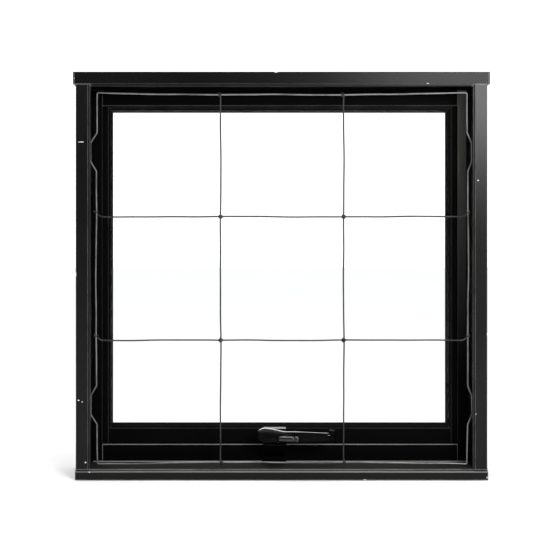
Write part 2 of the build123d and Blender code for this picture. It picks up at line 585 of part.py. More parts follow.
# ---------------------------------------------------------------- operator tracks under the bottom rail
for (x0, x1), name in zip(track_x, ("sash_track_left", "sash_track_right")):
    low, high = sorted((x0, x1))
    with BuildPart() as track:
        side_block(low, high, (track_depth, track_depth + TRACK_INNER + 2 * TRACK_WALL),
                   (BOX_FOOT - TRACK_WALL - TRACK_DEPTH, BOX_FOOT))
        side_block(low, high, (track_depth + TRACK_WALL, track_depth + TRACK_WALL + TRACK_INNER),
                   (BOX_FOOT - TRACK_WALL - TRACK_DEPTH, BOX_FOOT - TRACK_WALL), Mode.SUBTRACT)
        for x in rivet_x:
            if low < x < high:
                vertical_rod(x, track_middle, BOX_FOOT - 2 * TRACK_WALL, BOX_FOOT + 1,
                             TRACK_RIVET + SCREW_CLEARANCE, Mode.SUBTRACT)
    save(track, name)

with BuildPart() as track_rivets:
    for x in rivet_x:
        vertical_rod(x, track_middle, BOX_FOOT - TRACK_WALL, BOX_FOOT + SASH_WALL, TRACK_RIVET)
        vertical_rod(x, track_middle, BOX_FOOT - TRACK_WALL - 1, BOX_FOOT - TRACK_WALL, 2 * TRACK_RIVET)
        vertical_rod(x, track_middle, BOX_FOOT + SASH_WALL, BOX_FOOT + SASH_WALL + 1, 1.6 * TRACK_RIVET)
save(track_rivets, "track_rivets")

# ================================================================ wire guard
guard_low = SILL_TOP + GUARD_FOOT
guard_high = SOFFIT - GUARD_HEAD
guard_middle = (guard_low + guard_high) / 2
kink_x = REVEAL - EDGE_WIRE - KINK_GAP
guard_half = kink_x - KINK_OUT
column_x = {side: GUARD_SHIFT + side * guard_half / 3 for side in (LEFT, RIGHT)}
cross_heights = [guard_middle + side * (guard_high - guard_low) / 6 for side in (LEFT, RIGHT)]
guard_plane = Plane(origin=(0, y_at(GUARD_DEPTH), 0), x_dir=(1, 0, 0), z_dir=(0, -1, 0))


def edge_side(side, upwards):
    """The points of one side of the edge wire: two outward kinks and a slight bow between them."""
    points = []
    for centre in (guard_low + KINK_INSET, guard_high - KINK_INSET):
        for dz, out in ((-KINK_DEEP, 0), (-KINK_STRAIGHT / 2, 1), (KINK_STRAIGHT / 2, 1), (KINK_DEEP, 0)):
            near_end = (centre < guard_middle) == (dz < 0)
            bow = 0.35 * EDGE_BOW if near_end else 0.8 * EDGE_BOW
            x = side * kink_x if out else GUARD_SHIFT + side * (guard_half + bow)
            points.append((x, centre + dz))
    points.insert(4, (GUARD_SHIFT + side * (guard_half + EDGE_BOW), guard_middle))
    return points if upwards else points[::-1]


guard_left = GUARD_SHIFT - guard_half
guard_right = GUARD_SHIFT + guard_half
bow_low = guard_low + EDGE_BOW * 0.9
bow_high = guard_high - EDGE_BOW * 0.9
edge_points = [(GUARD_SHIFT - BUTT_GAP / 2, guard_low + EDGE_BOW), (column_x[LEFT], bow_low), (guard_left, guard_low)]
edge_points += edge_side(LEFT, True)
edge_points += [(guard_left, guard_high), (column_x[LEFT], bow_high), (column_x[RIGHT], bow_high),
                (guard_right, guard_high)]
edge_points += edge_side(RIGHT, False)
edge_points += [(guard_right, guard_low), (column_x[RIGHT], bow_low), (GUARD_SHIFT + BUTT_GAP / 2, guard_low + EDGE_BOW)]


def swept_wire(points, radius, bend):
    """A round wire along a polyline with rounded bends."""
    with BuildLine() as route:
        FilletPolyline(*points, radius=bend)
    with BuildSketch(Plane(origin=route.line @ 0, z_dir=route.line % 0)) as section:
        Circle(radius)
    sweep(section.sketch, path=route.line)


with BuildPart() as guard_edge:
    swept_wire([guard_plane.from_local_coords((x, z, 0)) for x, z in edge_points], EDGE_WIRE, KINK_BEND)
save(guard_edge, "guard_edge")

cell_offset = CELL_WIRE + WIRE_GAP / 2
hook_offset = EDGE_WIRE + CELL_WIRE + WIRE_GAP
for side, name in ((LEFT, "guard_upright_left"), (RIGHT, "guard_upright_right")):
    with BuildPart() as upright:
        front = y_at(GUARD_DEPTH - cell_offset)
        hook = y_at(GUARD_DEPTH - hook_offset)
        x = column_x[side]
        swept_wire([(x, hook, bow_low - 2.4), (x, hook, bow_low + 2.0), (x, front, bow_low + 9.0),
                    (x, front, bow_high - 9.0), (x, hook, bow_high - 2.0), (x, hook, bow_high + 2.4)],
                   CELL_WIRE, 1.5 * CELL_WIRE)
    save(upright, name)

for height, name in zip(cross_heights, ("guard_rail_lower", "guard_rail_upper")):
    with BuildPart() as guard_rail:
        back = y_at(GUARD_DEPTH + cell_offset)
        hook = y_at(GUARD_DEPTH + hook_offset)
        low = guard_left - 0.9 * EDGE_BOW
        high = guard_right + 0.9 * EDGE_BOW
        swept_wire([(low, hook, height + HOOK_RISE + 4.0), (low, hook, height + HOOK_RISE),
                    (low + HOOK_RUN, back, height), (high - HOOK_RUN, back, height),
                    (high, hook, height + HOOK_RISE), (high, hook, height + HOOK_RISE + 4.0)],
                   CELL_WIRE, 1.5 * CELL_WIRE)
    save(guard_rail, name)

with BuildPart() as guard_ties:
    channel = 2 * cell_offset
    for side in (LEFT, RIGHT):
        for height in cross_heights:
            x = column_x[side]
            with Locations((x, y_at(GUARD_DEPTH), height)):
                Sphere(TIE_RADIUS)
            side_block(x - cell_offset, x + cell_offset, (GUARD_DEPTH - channel, GUARD_DEPTH),
                       (height - 2 * TIE_RADIUS, height + 2 * TIE_RADIUS), Mode.SUBTRACT)
            side_block(x - 2 * TIE_RADIUS, x + 2 * TIE_RADIUS, (GUARD_DEPTH, GUARD_DEPTH + channel),
                       (height - cell_offset, height + cell_offset), Mode.SUBTRACT)
save(guard_ties, "guard_ties")

# ================================================================ crank operator
mesh = Vector(OPERATOR_X, y_at(MESH_DEPTH), MESH_HEIGHT)
tilt_cos = cos(radians(SPINDLE_TILT))
tilt_sin = sin(radians(SPINDLE_TILT))
spindle_frame = Plane(origin=mesh, x_dir=(1, 0, 0), z_dir=(0, -tilt_cos, tilt_sin))
droop_cos = cos(radians(HANDLE_DROOP))
droop_sin = sin(radians(HANDLE_DROOP))
handle_frame = Plane(origin=mesh, x_dir=(droop_cos, -droop_sin * tilt_sin, -droop_sin * tilt_cos),
                     z_dir=(0, -tilt_cos, tilt_sin))
bush_inner_start = 11.5
tube_end = COVER_FACE - COVER_WALL - 0.8
tube_start = 11.0
shaft_run = WORM_LENGTH / 2


def turned(start, end, radius, mode=Mode.ADD):
    """A cylinder about the spindle axis between two distances from the mesh point."""
    with BuildSketch(spindle_frame.offset(start)) as face:
        Circle(radius)
    extrude(face.sketch, amount=end - start, mode=mode)


base_screw_x = [OPERATOR_X + side * BASE_SCREW_SPACING / 2 for side in (LEFT, RIGHT)]
base_top = SILL_TOP + BASE_THICKNESS
boss_low = -(ARM_THICKNESS / 2 + WASHER)


def arm_frame(side):
    """The plane of an arm, with its origin on the pivot axis at mid thickness."""
    origin = (OPERATOR_X + side * PIVOT_SPACING / 2, y_at(MESH_DEPTH), MESH_HEIGHT)
    return Plane(origin=origin, x_dir=(1, 0, 0), z_dir=(0, -sin(radians(ARM_TILT)), cos(radians(ARM_TILT))))


def on_arm(side, low, high, radius, place=(0, 0), mode=Mode.ADD):
    """A cylinder square to an arm's plane."""
    with BuildSketch(arm_frame(side).offset(low)) as face:
        with Locations(place):
            Circle(radius)
    extrude(face.sketch, amount=high - low, mode=mode)


with BuildPart() as operator_base:
    side_block(OPERATOR_X - BASE_WIDTH / 2, OPERATOR_X + BASE_WIDTH / 2, (STOP_BACK + 0.5, BASE_BACK),
               (SILL_TOP, base_top))
    fillet(operator_base.edges().filter_by(Axis.Z), 4.0)
    side_block(OPERATOR_X - 10.0, OPERATOR_X + 10.0, (COVER_FOOT + 3.2, STOP_BACK + 6.0), (SILL_TOP, base_top))
    for side in (LEFT, RIGHT):
        on_arm(side, boss_low - 7.0, boss_low, 2 * PIVOT_PIN)
    side_outline(OPERATOR_X - 6.0, 12.0, [(COVER_FOOT + 3.2, base_top), (STOP_BACK + 1.2, base_top),
                                          (STOP_BACK + 1.2, 31.0), (COVER_FOOT + 3.2, 36.0)])
    side_block(OPERATOR_X - 5.2, OPERATOR_X + 5.2, (MESH_DEPTH + 7.2, BASE_BACK), (base_top, 25.5))
    turned(tube_start, tube_end, TUBE_OUTER)
    side_block(OPERATOR_X - 20, OPERATOR_X + 20, (STOP_BACK + 1.2, BASE_BACK), (30.0, 60.0), Mode.SUBTRACT)
    turned(tube_start - 6, tube_end + 1, BUSH_OUTER + PIN_CLEARANCE, Mode.SUBTRACT)
    turned(-shaft_run - 1 - TAIL_LENGTH - 0.5, -shaft_run, TAIL_JOURNAL + PIN_CLEARANCE, Mode.SUBTRACT)
    for side in (LEFT, RIGHT):
        on_arm(side, boss_low - 8.0, boss_low + 1.0, PIVOT_PIN + PIN_CLEARANCE, mode=Mode.SUBTRACT)
    for x in base_screw_x:
        vertical_rod(x, MESH_DEPTH, SILL_TOP - 1, base_top + 1, BASE_SCREW + SCREW_CLEARANCE, Mode.SUBTRACT)
save(operator_base, "operator_base")

with BuildPart() as base_screws:
    for x in base_screw_x:
        vertical_rod(x, MESH_DEPTH, SILL_TOP - 9.0, base_top, BASE_SCREW)
        vertical_rod(x, MESH_DEPTH, base_top, base_top + 2.0, 1.8 * BASE_SCREW)
save(base_screws, "base_screws")

with BuildPart() as arm_pins:
    for side in (LEFT, RIGHT):
        on_arm(side, boss_low - 7.5, -boss_low, PIVOT_PIN)
        on_arm(side, -boss_low, -boss_low + 1.8, PIN_HEAD)
save(arm_pins, "arm_pins")

with BuildPart() as arm_washers:
    for side in (LEFT, RIGHT):
        for low in (boss_low, ARM_THICKNESS / 2):
            on_arm(side, low + 0.05, low + WASHER - 0.05, 1.9 * PIVOT_PIN)
            on_arm(side, low, low + WASHER, PIVOT_PIN + PIN_CLEARANCE, mode=Mode.SUBTRACT)
save(arm_washers, "arm_washers")

# ---------------------------------------------------------------- arms with their gear sectors
sector_tip = PIVOT_SPACING / 2 - WORM_RADIUS - MESH_GAP
tooth_pitch = 360.0 / SECTOR_TEETH
roller_y = ROLLER_SETBACK / cos(radians(ARM_TILT))
roller_angle = degrees(asin(roller_y / ARM_LENGTH))


def sector_outline(side):
    """Tooth corners round the sector, then back to the pivot."""
    points = [(0, 0)]
    steps = int((SECTOR_TO - SECTOR_FROM) / tooth_pitch) + 1
    for i in range(steps):
        for share, radius in ((-0.28, sector_tip - TOOTH_DEPTH), (-0.14, sector_tip), (0.14, sector_tip),
                              (0.28, sector_tip - TOOTH_DEPTH)):
            a = radians(SECTOR_FROM + (i + share) * tooth_pitch)
            points.append((-side * radius * cos(a), radius * sin(a)))
    return points


def roller_place(side):
    """The roller's centre in the arm's own plane."""
    return (side * ARM_LENGTH * cos(radians(roller_angle)), roller_y)


def arm(side):
    """An arm and its gear sector, one plate that turns on the pivot pin."""
    with BuildPart() as piece:
        with BuildSketch(arm_frame(side).offset(-ARM_THICKNESS / 2)) as face:
            Circle(ARM_HUB)
            with BuildLine():
                Polyline(*sector_outline(side), close=True)
            make_face()
            end_x, end_y = roller_place(side)
            with Locations(Location((end_x / 2, end_y / 2), side * roller_angle)):
                SlotCenterToCenter(ARM_LENGTH, ARM_WIDTH)
            Circle(PIVOT_PIN + PIN_CLEARANCE, mode=Mode.SUBTRACT)
            with Locations((end_x, end_y)):
                Circle(ROLLER_STUD + PIN_CLEARANCE, mode=Mode.SUBTRACT)
        extrude(face.sketch, amount=ARM_THICKNESS)
    return piece


roller_low = ARM_THICKNESS / 2 + 0.4
for side, name in ((LEFT, "left"), (RIGHT, "right")):
    save(arm(side), f"arm_{name}")
    with BuildPart() as roller:
        on_arm(side, roller_low, roller_low + ROLLER_HEIGHT, ROLLER_RADIUS, roller_place(side))
        fillet(roller.edges(), 0.6)
        on_arm(side, roller_low - 1, roller_low + ROLLER_HEIGHT + 1, ROLLER_STUD + PIN_CLEARANCE,
               roller_place(side), Mode.SUBTRACT)
    save(roller, f"roller_{name}")
    with BuildPart() as stud:
        on_arm(side, -ARM_THICKNESS / 2 - 1.2, -ARM_THICKNESS / 2, 1.6 * ROLLER_STUD, roller_place(side))
        on_arm(side, -ARM_THICKNESS / 2, roller_low + ROLLER_HEIGHT + 0.3, ROLLER_STUD, roller_place(side))
        on_arm(side, roller_low + ROLLER_HEIGHT + 0.3, roller_low + ROLLER_HEIGHT + 1.0, 1.4 * ROLLER_STUD,
               roller_place(side))
    save(stud, f"roller_stud_{name}")

# ---------------------------------------------------------------- worm spindle and its bushes
worm_pitch = 2 * pi * (PIVOT_SPACING / 2 - WORM_RADIUS) / SECTOR_TEETH
with BuildPart() as worm_spindle:
    turned(-shaft_run - 1 - TAIL_LENGTH, -shaft_run, TAIL_JOURNAL)
    turned(-shaft_run, shaft_run, WORM_ROOT)
    for i in (-1, 0, 1):
        middle = i * worm_pitch
        turned(middle - 0.3 * worm_pitch, middle + 0.3 * worm_pitch, WORM_RADIUS)
    turned(shaft_run, HANDLE_FRONT - 1.5, SPINDLE)
    chamfer(worm_spindle.faces().sort_by(Axis.Z)[-1].edges(), 0.5)
save(worm_spindle, "worm_spindle")

with BuildPart() as spindle_bush_inner:
    turned(bush_inner_start, bush_inner_start + BUSH_LENGTH, BUSH_OUTER)
    turned(bush_inner_start - 1, tube_end, SPINDLE + PIN_CLEARANCE, Mode.SUBTRACT)
    side_block(OPERATOR_X - 20, OPERATOR_X + 20, (STOP_BACK + 1.2, BASE_BACK), (25.0, 60.0), Mode.SUBTRACT)
save(spindle_bush_inner, "spindle_bush_inner")

with BuildPart() as spindle_bush_outer:
    turned(tube_end - BUSH_LENGTH, tube_end, BUSH_OUTER)
    turned(tube_end, tube_end + BUSH_FLANGE, TUBE_OUTER - 0.6)
    turned(tube_end - BUSH_LENGTH - 1, tube_end + BUSH_FLANGE + 1, SPINDLE + PIN_CLEARANCE, Mode.SUBTRACT)
save(spindle_bush_outer, "spindle_bush_outer")


# ---------------------------------------------------------------- cover
def spindle_side(along, across):
    """Depth and height of a point in the side view, along the spindle and square to it."""
    return (MESH_DEPTH - along * tilt_cos + across * tilt_sin, MESH_HEIGHT + along * tilt_sin + across * tilt_cos)


cover_low = spindle_side(COVER_FACE, -COVER_BELOW)
cover_centre = spindle_side(COVER_FACE, 0)
cover_top_front = (cover_centre[0] + (COVER_TOP - cover_centre[1]) * tilt_sin / tilt_cos, COVER_TOP)
underside_drop = (COVER_FOOT - cover_low[0]) * tilt_sin / tilt_cos
cover_outline = [cover_low, cover_top_front, (cover_top_front[0] + COVER_TOP_LENGTH, COVER_TOP),
                 (STOP_DEPTH, UPSTAND_TOP + 11.0), (STOP_DEPTH, SILL_TOP), (COVER_FOOT, SILL_TOP),
                 (COVER_FOOT, cover_low[1] - underside_drop)]
with BuildPart() as operator_cover:
    with BuildSketch(Plane.YZ.offset(OPERATOR_X - COVER_LEFT)) as cover_face:
        with BuildLine():
            Polyline(*[(y_at(d), z) for d, z in cover_outline], close=True)
        make_face()
        fillet(cover_face.vertices().group_by(Axis.Z)[-1], 1.6)
    extrude(cover_face.sketch, amount=COVER_LEFT + COVER_RIGHT)
    fillet(operator_cover.faces().sort_by(Axis.X)[0].edges().sort_by(Axis.Y)[0:3], 1.5)
    with BuildSketch(Plane.YZ.offset(OPERATOR_X - COVER_LEFT + COVER_WALL)) as cavity:
        with BuildLine():
            Polyline(*[(y_at(d), z) for d, z in cover_outline], close=True)
        make_face()
        offset(amount=-COVER_WALL, kind=Kind.INTERSECTION)
        back_open = UPSTAND + 8.0
        with Locations((y_at((COVER_FOOT + COVER_WALL + STOP_DEPTH + 1) / 2), SILL_TOP - 2 + back_open / 2)):
            Rectangle(STOP_DEPTH + 1 - COVER_FOOT - COVER_WALL, back_open)
    extrude(cavity.sketch, amount=COVER_LEFT + COVER_RIGHT - 2 * COVER_WALL, mode=Mode.SUBTRACT)
    turned(COVER_FACE - 2 * COVER_WALL, COVER_FACE + 2, TUBE_OUTER - 0.2, Mode.SUBTRACT)
save(operator_cover, "operator_cover")


# ---------------------------------------------------------------- handle, folding grip and knob
def handle_plane(along, x=0.0, rise=0.0):
    """A plane of the handle, square to the spindle."""
    return Plane(origin=handle_frame.from_local_coords((x, rise, along)), x_dir=handle_frame.x_dir,
                 z_dir=handle_frame.z_dir)


def rise_plane(x, rise, along):
    """A plane whose normal runs up the handle's face, square to its bar."""
    return Plane(origin=handle_frame.from_local_coords((x, rise, along)), x_dir=handle_frame.x_dir,
                 z_dir=handle_frame.y_dir)


def length_plane(x, rise, along):
    """A plane whose normal runs along the handle's bar."""
    return Plane(origin=handle_frame.from_local_coords((x, rise, along)), x_dir=handle_frame.y_dir,
                 z_dir=handle_frame.x_dir)


def stepped(plane, sections, mode=Mode.ADD):
    """Cylinders end to end, each given as (length, radius)."""
    start = 0.0
    for length, radius in sections:
        with BuildSketch(plane.offset(start)) as face:
            Circle(radius)
        extrude(face.sketch, amount=length, mode=mode)
        start += length


hub_middle = (HANDLE_REAR + HANDLE_FRONT) / 2
bar_end = HANDLE_REACH + HANDLE_END
with BuildPart() as crank_handle:
    with BuildSketch(handle_plane(HANDLE_REAR)) as hub_face:
        with Locations((-HUB_HEEL, 0)):
            Circle(HUB_RADIUS)
        with Locations((HUB_NOSE, -0.4)):
            Circle(0.68 * HUB_RADIUS)
        make_hull()
    extrude(hub_face.sketch, amount=HANDLE_FRONT - HANDLE_REAR)
    fillet(crank_handle.faces().filter_by(Axis((0, 0, 0), handle_frame.z_dir)).sort_by(Axis.Z)[-1].edges(), 1.6)
    with BuildSketch(handle_plane(ARM_BAR_REAR)) as bar_face:
        with Locations((bar_end / 2, (BAR_LOW + BAR_HIGH) / 2)):
            Rectangle(bar_end, BAR_HIGH - BAR_LOW)
    extrude(bar_face.sketch, amount=HANDLE_FRONT - ARM_BAR_REAR)
    with BuildSketch(rise_plane(HANDLE_REACH, BAR_LOW, GRIP_AXIS)) as lug_face:
        Circle(HANDLE_END)
        with Locations((0, (GRIP_AXIS - ARM_BAR_REAR) / 2)):
            Rectangle(2 * HANDLE_END, GRIP_AXIS - ARM_BAR_REAR)
    extrude(lug_face.sketch, amount=BAR_HIGH - BAR_LOW)
    stepped(length_plane(-HUB_HEEL - HUB_RADIUS - 1, 0, hub_middle),
            [(HUB_HEEL + HUB_RADIUS, BASE_SCREW + SCREW_CLEARANCE)], Mode.SUBTRACT)
    stepped(handle_plane(HANDLE_REAR - 1), [(HANDLE_FRONT - HANDLE_REAR - 0.4, SPINDLE + PIN_CLEARANCE)],
            Mode.SUBTRACT)
    stepped(rise_plane(HANDLE_REACH, BAR_LOW - 1, GRIP_AXIS),
            [(BAR_HIGH - BAR_LOW + 2, GRIP_PIN + PIN_CLEARANCE)], Mode.SUBTRACT)
save(crank_handle, "crank_handle")

with BuildPart() as handle_set_screw:
    stepped(length_plane(-SPINDLE - 8.2, 0, hub_middle), [(8.0, BASE_SCREW)])
save(handle_set_screw, "handle_set_screw")

with BuildPart() as grip_pin:
    stepped(rise_plane(HANDLE_REACH, GRIP_LOW - 1.5, GRIP_AXIS),
            [(0.9, 1.7 * GRIP_PIN), (BAR_HIGH - GRIP_LOW + 0.6, GRIP_PIN), (0.7, 1.5 * GRIP_PIN)])
save(grip_pin, "grip_pin")

eye_radius = GRIP_AXIS - HANDLE_FRONT - 0.5
with BuildPart() as folding_grip:
    with BuildSketch(handle_plane(GRIP_AXIS - GRIP_THICKNESS / 2)) as paddle:
        with BuildLine():
            Polyline((KNOB_END, GRIP_HIGH), (KNOB_END + GRIP_CREST - GRIP_HIGH, GRIP_CREST),
                     (HANDLE_REACH - GRIP_SHOULDER, GRIP_CREST), (HANDLE_REACH - GRIP_SHOULDER, GRIP_HIGH),
                     (HANDLE_REACH, GRIP_HIGH), (HANDLE_REACH, GRIP_LOW),
                     (KNOB_END, KNOB_CENTRE - KNOB_RADIUS), close=True)
        make_face()
    extrude(paddle.sketch, amount=GRIP_THICKNESS)
    fillet(folding_grip.edges().filter_by(Axis((0, 0, 0), handle_frame.x_dir)), 1.2)
    stepped(rise_plane(HANDLE_REACH, GRIP_LOW, GRIP_AXIS), [(GRIP_HIGH - GRIP_LOW, eye_radius)])
    stepped(length_plane(KNOB_START + 3, KNOB_CENTRE, GRIP_AXIS), [(KNOB_END - KNOB_START - 2, KNOB_STUD)])
    stepped(rise_plane(HANDLE_REACH, GRIP_LOW - 1, GRIP_AXIS), [(GRIP_HIGH - GRIP_LOW + 2, GRIP_PIN + PIN_CLEARANCE)],
            Mode.SUBTRACT)
save(folding_grip, "folding_grip")

with BuildPart() as grip_knob:
    stepped(length_plane(KNOB_START, KNOB_CENTRE, GRIP_AXIS),
            [(KNOB_END - KNOB_START - COLLAR_LENGTH - 0.3, KNOB_RADIUS), (COLLAR_LENGTH, KNOB_COLLAR)])
    stepped(length_plane(KNOB_START + 2.5, KNOB_CENTRE, GRIP_AXIS),
            [(KNOB_END - KNOB_START, KNOB_STUD + PIN_CLEARANCE)], Mode.SUBTRACT)
save(grip_knob, "grip_knob")
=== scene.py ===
import json
from math import pi, radians

import bpy
import numpy as np
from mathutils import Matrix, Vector


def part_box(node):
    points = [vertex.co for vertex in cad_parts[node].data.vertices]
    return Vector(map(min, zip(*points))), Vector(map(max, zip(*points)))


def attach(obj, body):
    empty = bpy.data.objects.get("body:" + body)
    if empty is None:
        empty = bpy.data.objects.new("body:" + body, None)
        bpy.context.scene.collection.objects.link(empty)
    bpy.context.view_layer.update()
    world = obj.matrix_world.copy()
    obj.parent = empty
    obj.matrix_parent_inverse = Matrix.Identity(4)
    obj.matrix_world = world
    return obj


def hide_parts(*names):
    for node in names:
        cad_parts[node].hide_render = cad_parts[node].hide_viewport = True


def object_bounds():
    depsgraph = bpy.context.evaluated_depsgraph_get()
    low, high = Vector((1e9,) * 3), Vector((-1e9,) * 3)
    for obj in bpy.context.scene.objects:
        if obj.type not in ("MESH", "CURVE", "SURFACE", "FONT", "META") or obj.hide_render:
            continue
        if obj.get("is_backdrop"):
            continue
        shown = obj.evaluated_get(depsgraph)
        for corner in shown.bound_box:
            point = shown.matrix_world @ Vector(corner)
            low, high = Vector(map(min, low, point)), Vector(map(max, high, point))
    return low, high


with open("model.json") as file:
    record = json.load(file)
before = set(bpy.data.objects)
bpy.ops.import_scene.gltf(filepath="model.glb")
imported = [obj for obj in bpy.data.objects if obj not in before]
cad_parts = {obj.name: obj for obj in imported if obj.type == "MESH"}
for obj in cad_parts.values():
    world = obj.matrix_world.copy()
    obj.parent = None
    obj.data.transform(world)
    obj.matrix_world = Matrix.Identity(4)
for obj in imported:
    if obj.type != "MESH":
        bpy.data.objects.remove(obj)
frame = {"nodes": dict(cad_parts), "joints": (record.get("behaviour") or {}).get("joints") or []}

bl_info = {
    "name": "Crank window looks",
    "version": (1, 0, 0),
    "blender": (4, 5, 0),
    "location": "View3D > Sidebar > Window",
    "description": "Finishes, wire guard, seals, screws and handle of a top-hung crank window",
    "category": "Object",
}

MM = 0.001
X_AXIS = np.array((1.0, 0.0, 0.0))
Y_AXIS = np.array((0.0, 1.0, 0.0))
Z_AXIS = np.array((0.0, 0.0, 1.0))
LEFT, RIGHT = -1, 1
SIDES = (LEFT, RIGHT)


# ---------------------------------------------------------------- places taken from the frame
def corners(node):
    """Lowest and highest corner of a CAD node, in millimetres."""
    low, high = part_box(node)
    return np.array(low) / MM, np.array(high) / MM


def joint_place(name):
    """A joint's position in millimetres and its axis as a unit vector."""
    found = next(j for j in frame["joints"] if j["name"] == name)
    axis = np.array(found["axis"], float)
    return np.array(found["pos_m"], float) / MM, axis / np.linalg.norm(axis)


# ---------------------------------------------------------------- settings
def number(name, description, default, low=0.0, **more):
    """A number setting, nought or more unless another lowest value is given."""
    return bpy.props.FloatProperty(name=name, description=description, default=default, min=low, **more)


def distance(name, description, millimetres):
    """A size setting, whose default is given in millimetres."""
    return number(name, description, millimetres * MM, precision=5, unit="LENGTH", subtype="DISTANCE")


def share(name, description, default):
    """A setting between nought and one."""
    return number(name, description, default, max=1.0, subtype="FACTOR")


def tint(name, description, default):
    """A colour setting."""
    return bpy.props.FloatVectorProperty(name=name, description=description, default=default, size=3, min=0.0,
                                         max=1.0, subtype="COLOR")


class WindowFinishSettings(bpy.types.PropertyGroup):
    """Colours and gloss of the window's finishes."""

    frame_colour: tint("Frame paint", "Colour of the painted outer frame", (0.0030, 0.0030, 0.0031))
    sash_colour: tint("Sash paint", "Colour of the painted sash", (0.0009, 0.0009, 0.0009))
    bare_metal: tint("Bare metal", "Colour of the metal where paint has chipped", (0.72, 0.72, 0.70))
    wire_colour: tint("Guard wire", "Colour of the galvanised guard wire", (0.20, 0.20, 0.195))
    handle_colour: tint("Handle enamel", "Colour of the crank handle", (0.0015, 0.0015, 0.0015))
    cover_colour: tint("Cover enamel", "Colour of the operator's cover and base", (0.0012, 0.0012, 0.0012))
    # Pale edge colour, partly worn paint and partly a painted highlight along the edges
    wear_and_highlight_tint: tint("Worn edge", "Colour of the paint rubbed thin along edges", (0.30, 0.30, 0.29))
    dust_colour: tint("Dust", "Colour of the dust that lies on paint", (0.12, 0.115, 0.105))
    paint_roughness: share("Paint roughness", "Roughness of the satin paint", 0.34)
    dust_amount: share("Dust amount", "How much dust lies on the paint", 0.16)
    face_gloss: share("Face gloss", "Strength of the clear shine on the room face", 0.22)


class WindowGuardSettings(bpy.types.PropertyGroup):
    """Sizes of the wire guard."""

    edge_radius: distance("Edge wire radius", "Radius of the guard's edge wire", 1.25)
    cell_radius: distance("Cell wire radius", "Radius of the inner wires", 1.1)
    waviness: distance("Waviness", "How far the hand-bent wires stray from a straight line", 0.35)
    tie_radius: distance("Tie wire radius", "Radius of the thin wire wound round each crossing", 0.55)
    tie_turns: number("Tie turns", "Turns of tie wire at each crossing", 2.5, 1.0, max=6.0)


class WindowHardwareSettings(bpy.types.PropertyGroup):
    """Sizes of seals, screws and the operator's turned pieces."""

    seal_bulb: distance("Seal bulb radius", "Radius of the weatherseal's bulb", 0.9)
    recess_depth: distance("Recess depth", "Depth of the cross recess in a screw head", 1.1)
    thread_height: distance("Thread height", "Height of the worm's thread", 1.6)
    knob_crown: distance("Knob crown", "How far the knob swells at its middle", 0.0)


class WindowStageSettings(bpy.types.PropertyGroup):
    """Camera, lights and floor."""

    view_distance: number("View distance", "Camera to the room face", 1.5, 0.2, unit="LENGTH",
                          subtype="DISTANCE")
    focal_length: number("Focal length", "Focal length of the camera", 65.96, 10.0, unit="CAMERA")
    key_power: number("Key light", "Power of the soft light at the upper right", 27.0, unit="POWER")
    fill_power: number("Fill light", "Power of the soft light from the room", 5.0, unit="POWER")
    overhead: number("Overhead light", "Strength of the even light from above", 3.6)
    room_glow: share("Room glow", "Brightness of the plain surroundings as the window sees them", 0.10)


# ---------------------------------------------------------------- shader maths
def arithmetic(operation, swapped=False):
    """A method that joins a field and another value, or the value and the field, in a Math node."""
    def method(self, other):
        pair = (other, self) if swapped else (self, other)
        return self.finish.node("ShaderNodeMath", {"operation": operation}, dict(enumerate(pair)))
    return method


class Field:
    """A shader socket that takes part in Python arithmetic."""

    def __init__(self, finish, socket):
        self.finish = finish
        self.socket = socket

    __add__, __radd__ = arithmetic("ADD"), arithmetic("ADD", True)
    __sub__, __rsub__ = arithmetic("SUBTRACT"), arithmetic("SUBTRACT", True)
    __mul__, __rmul__ = arithmetic("MULTIPLY"), arithmetic("MULTIPLY", True)
    least = arithmetic("MINIMUM")


class Tree:
    """The node tree of a material or a world."""

    def __init__(self, owner):
        owner.use_nodes = True
        self.tree = owner.node_tree
        self.tree.nodes.clear()

    def node(self, kind, settings, sockets, output=0):
        """One node. Its settings are set first, then the values or links of its sockets."""
        made = self.tree.nodes.new(kind)
        for key, value in settings.items():
            setattr(made, key, value)
        for key, value in sockets.items():
            if isinstance(value, Field):
                self.tree.links.new(value.socket, made.inputs[key])
            else:
                made.inputs[key].default_value = value
        return Field(self, made.outputs[output]) if made.outputs else made


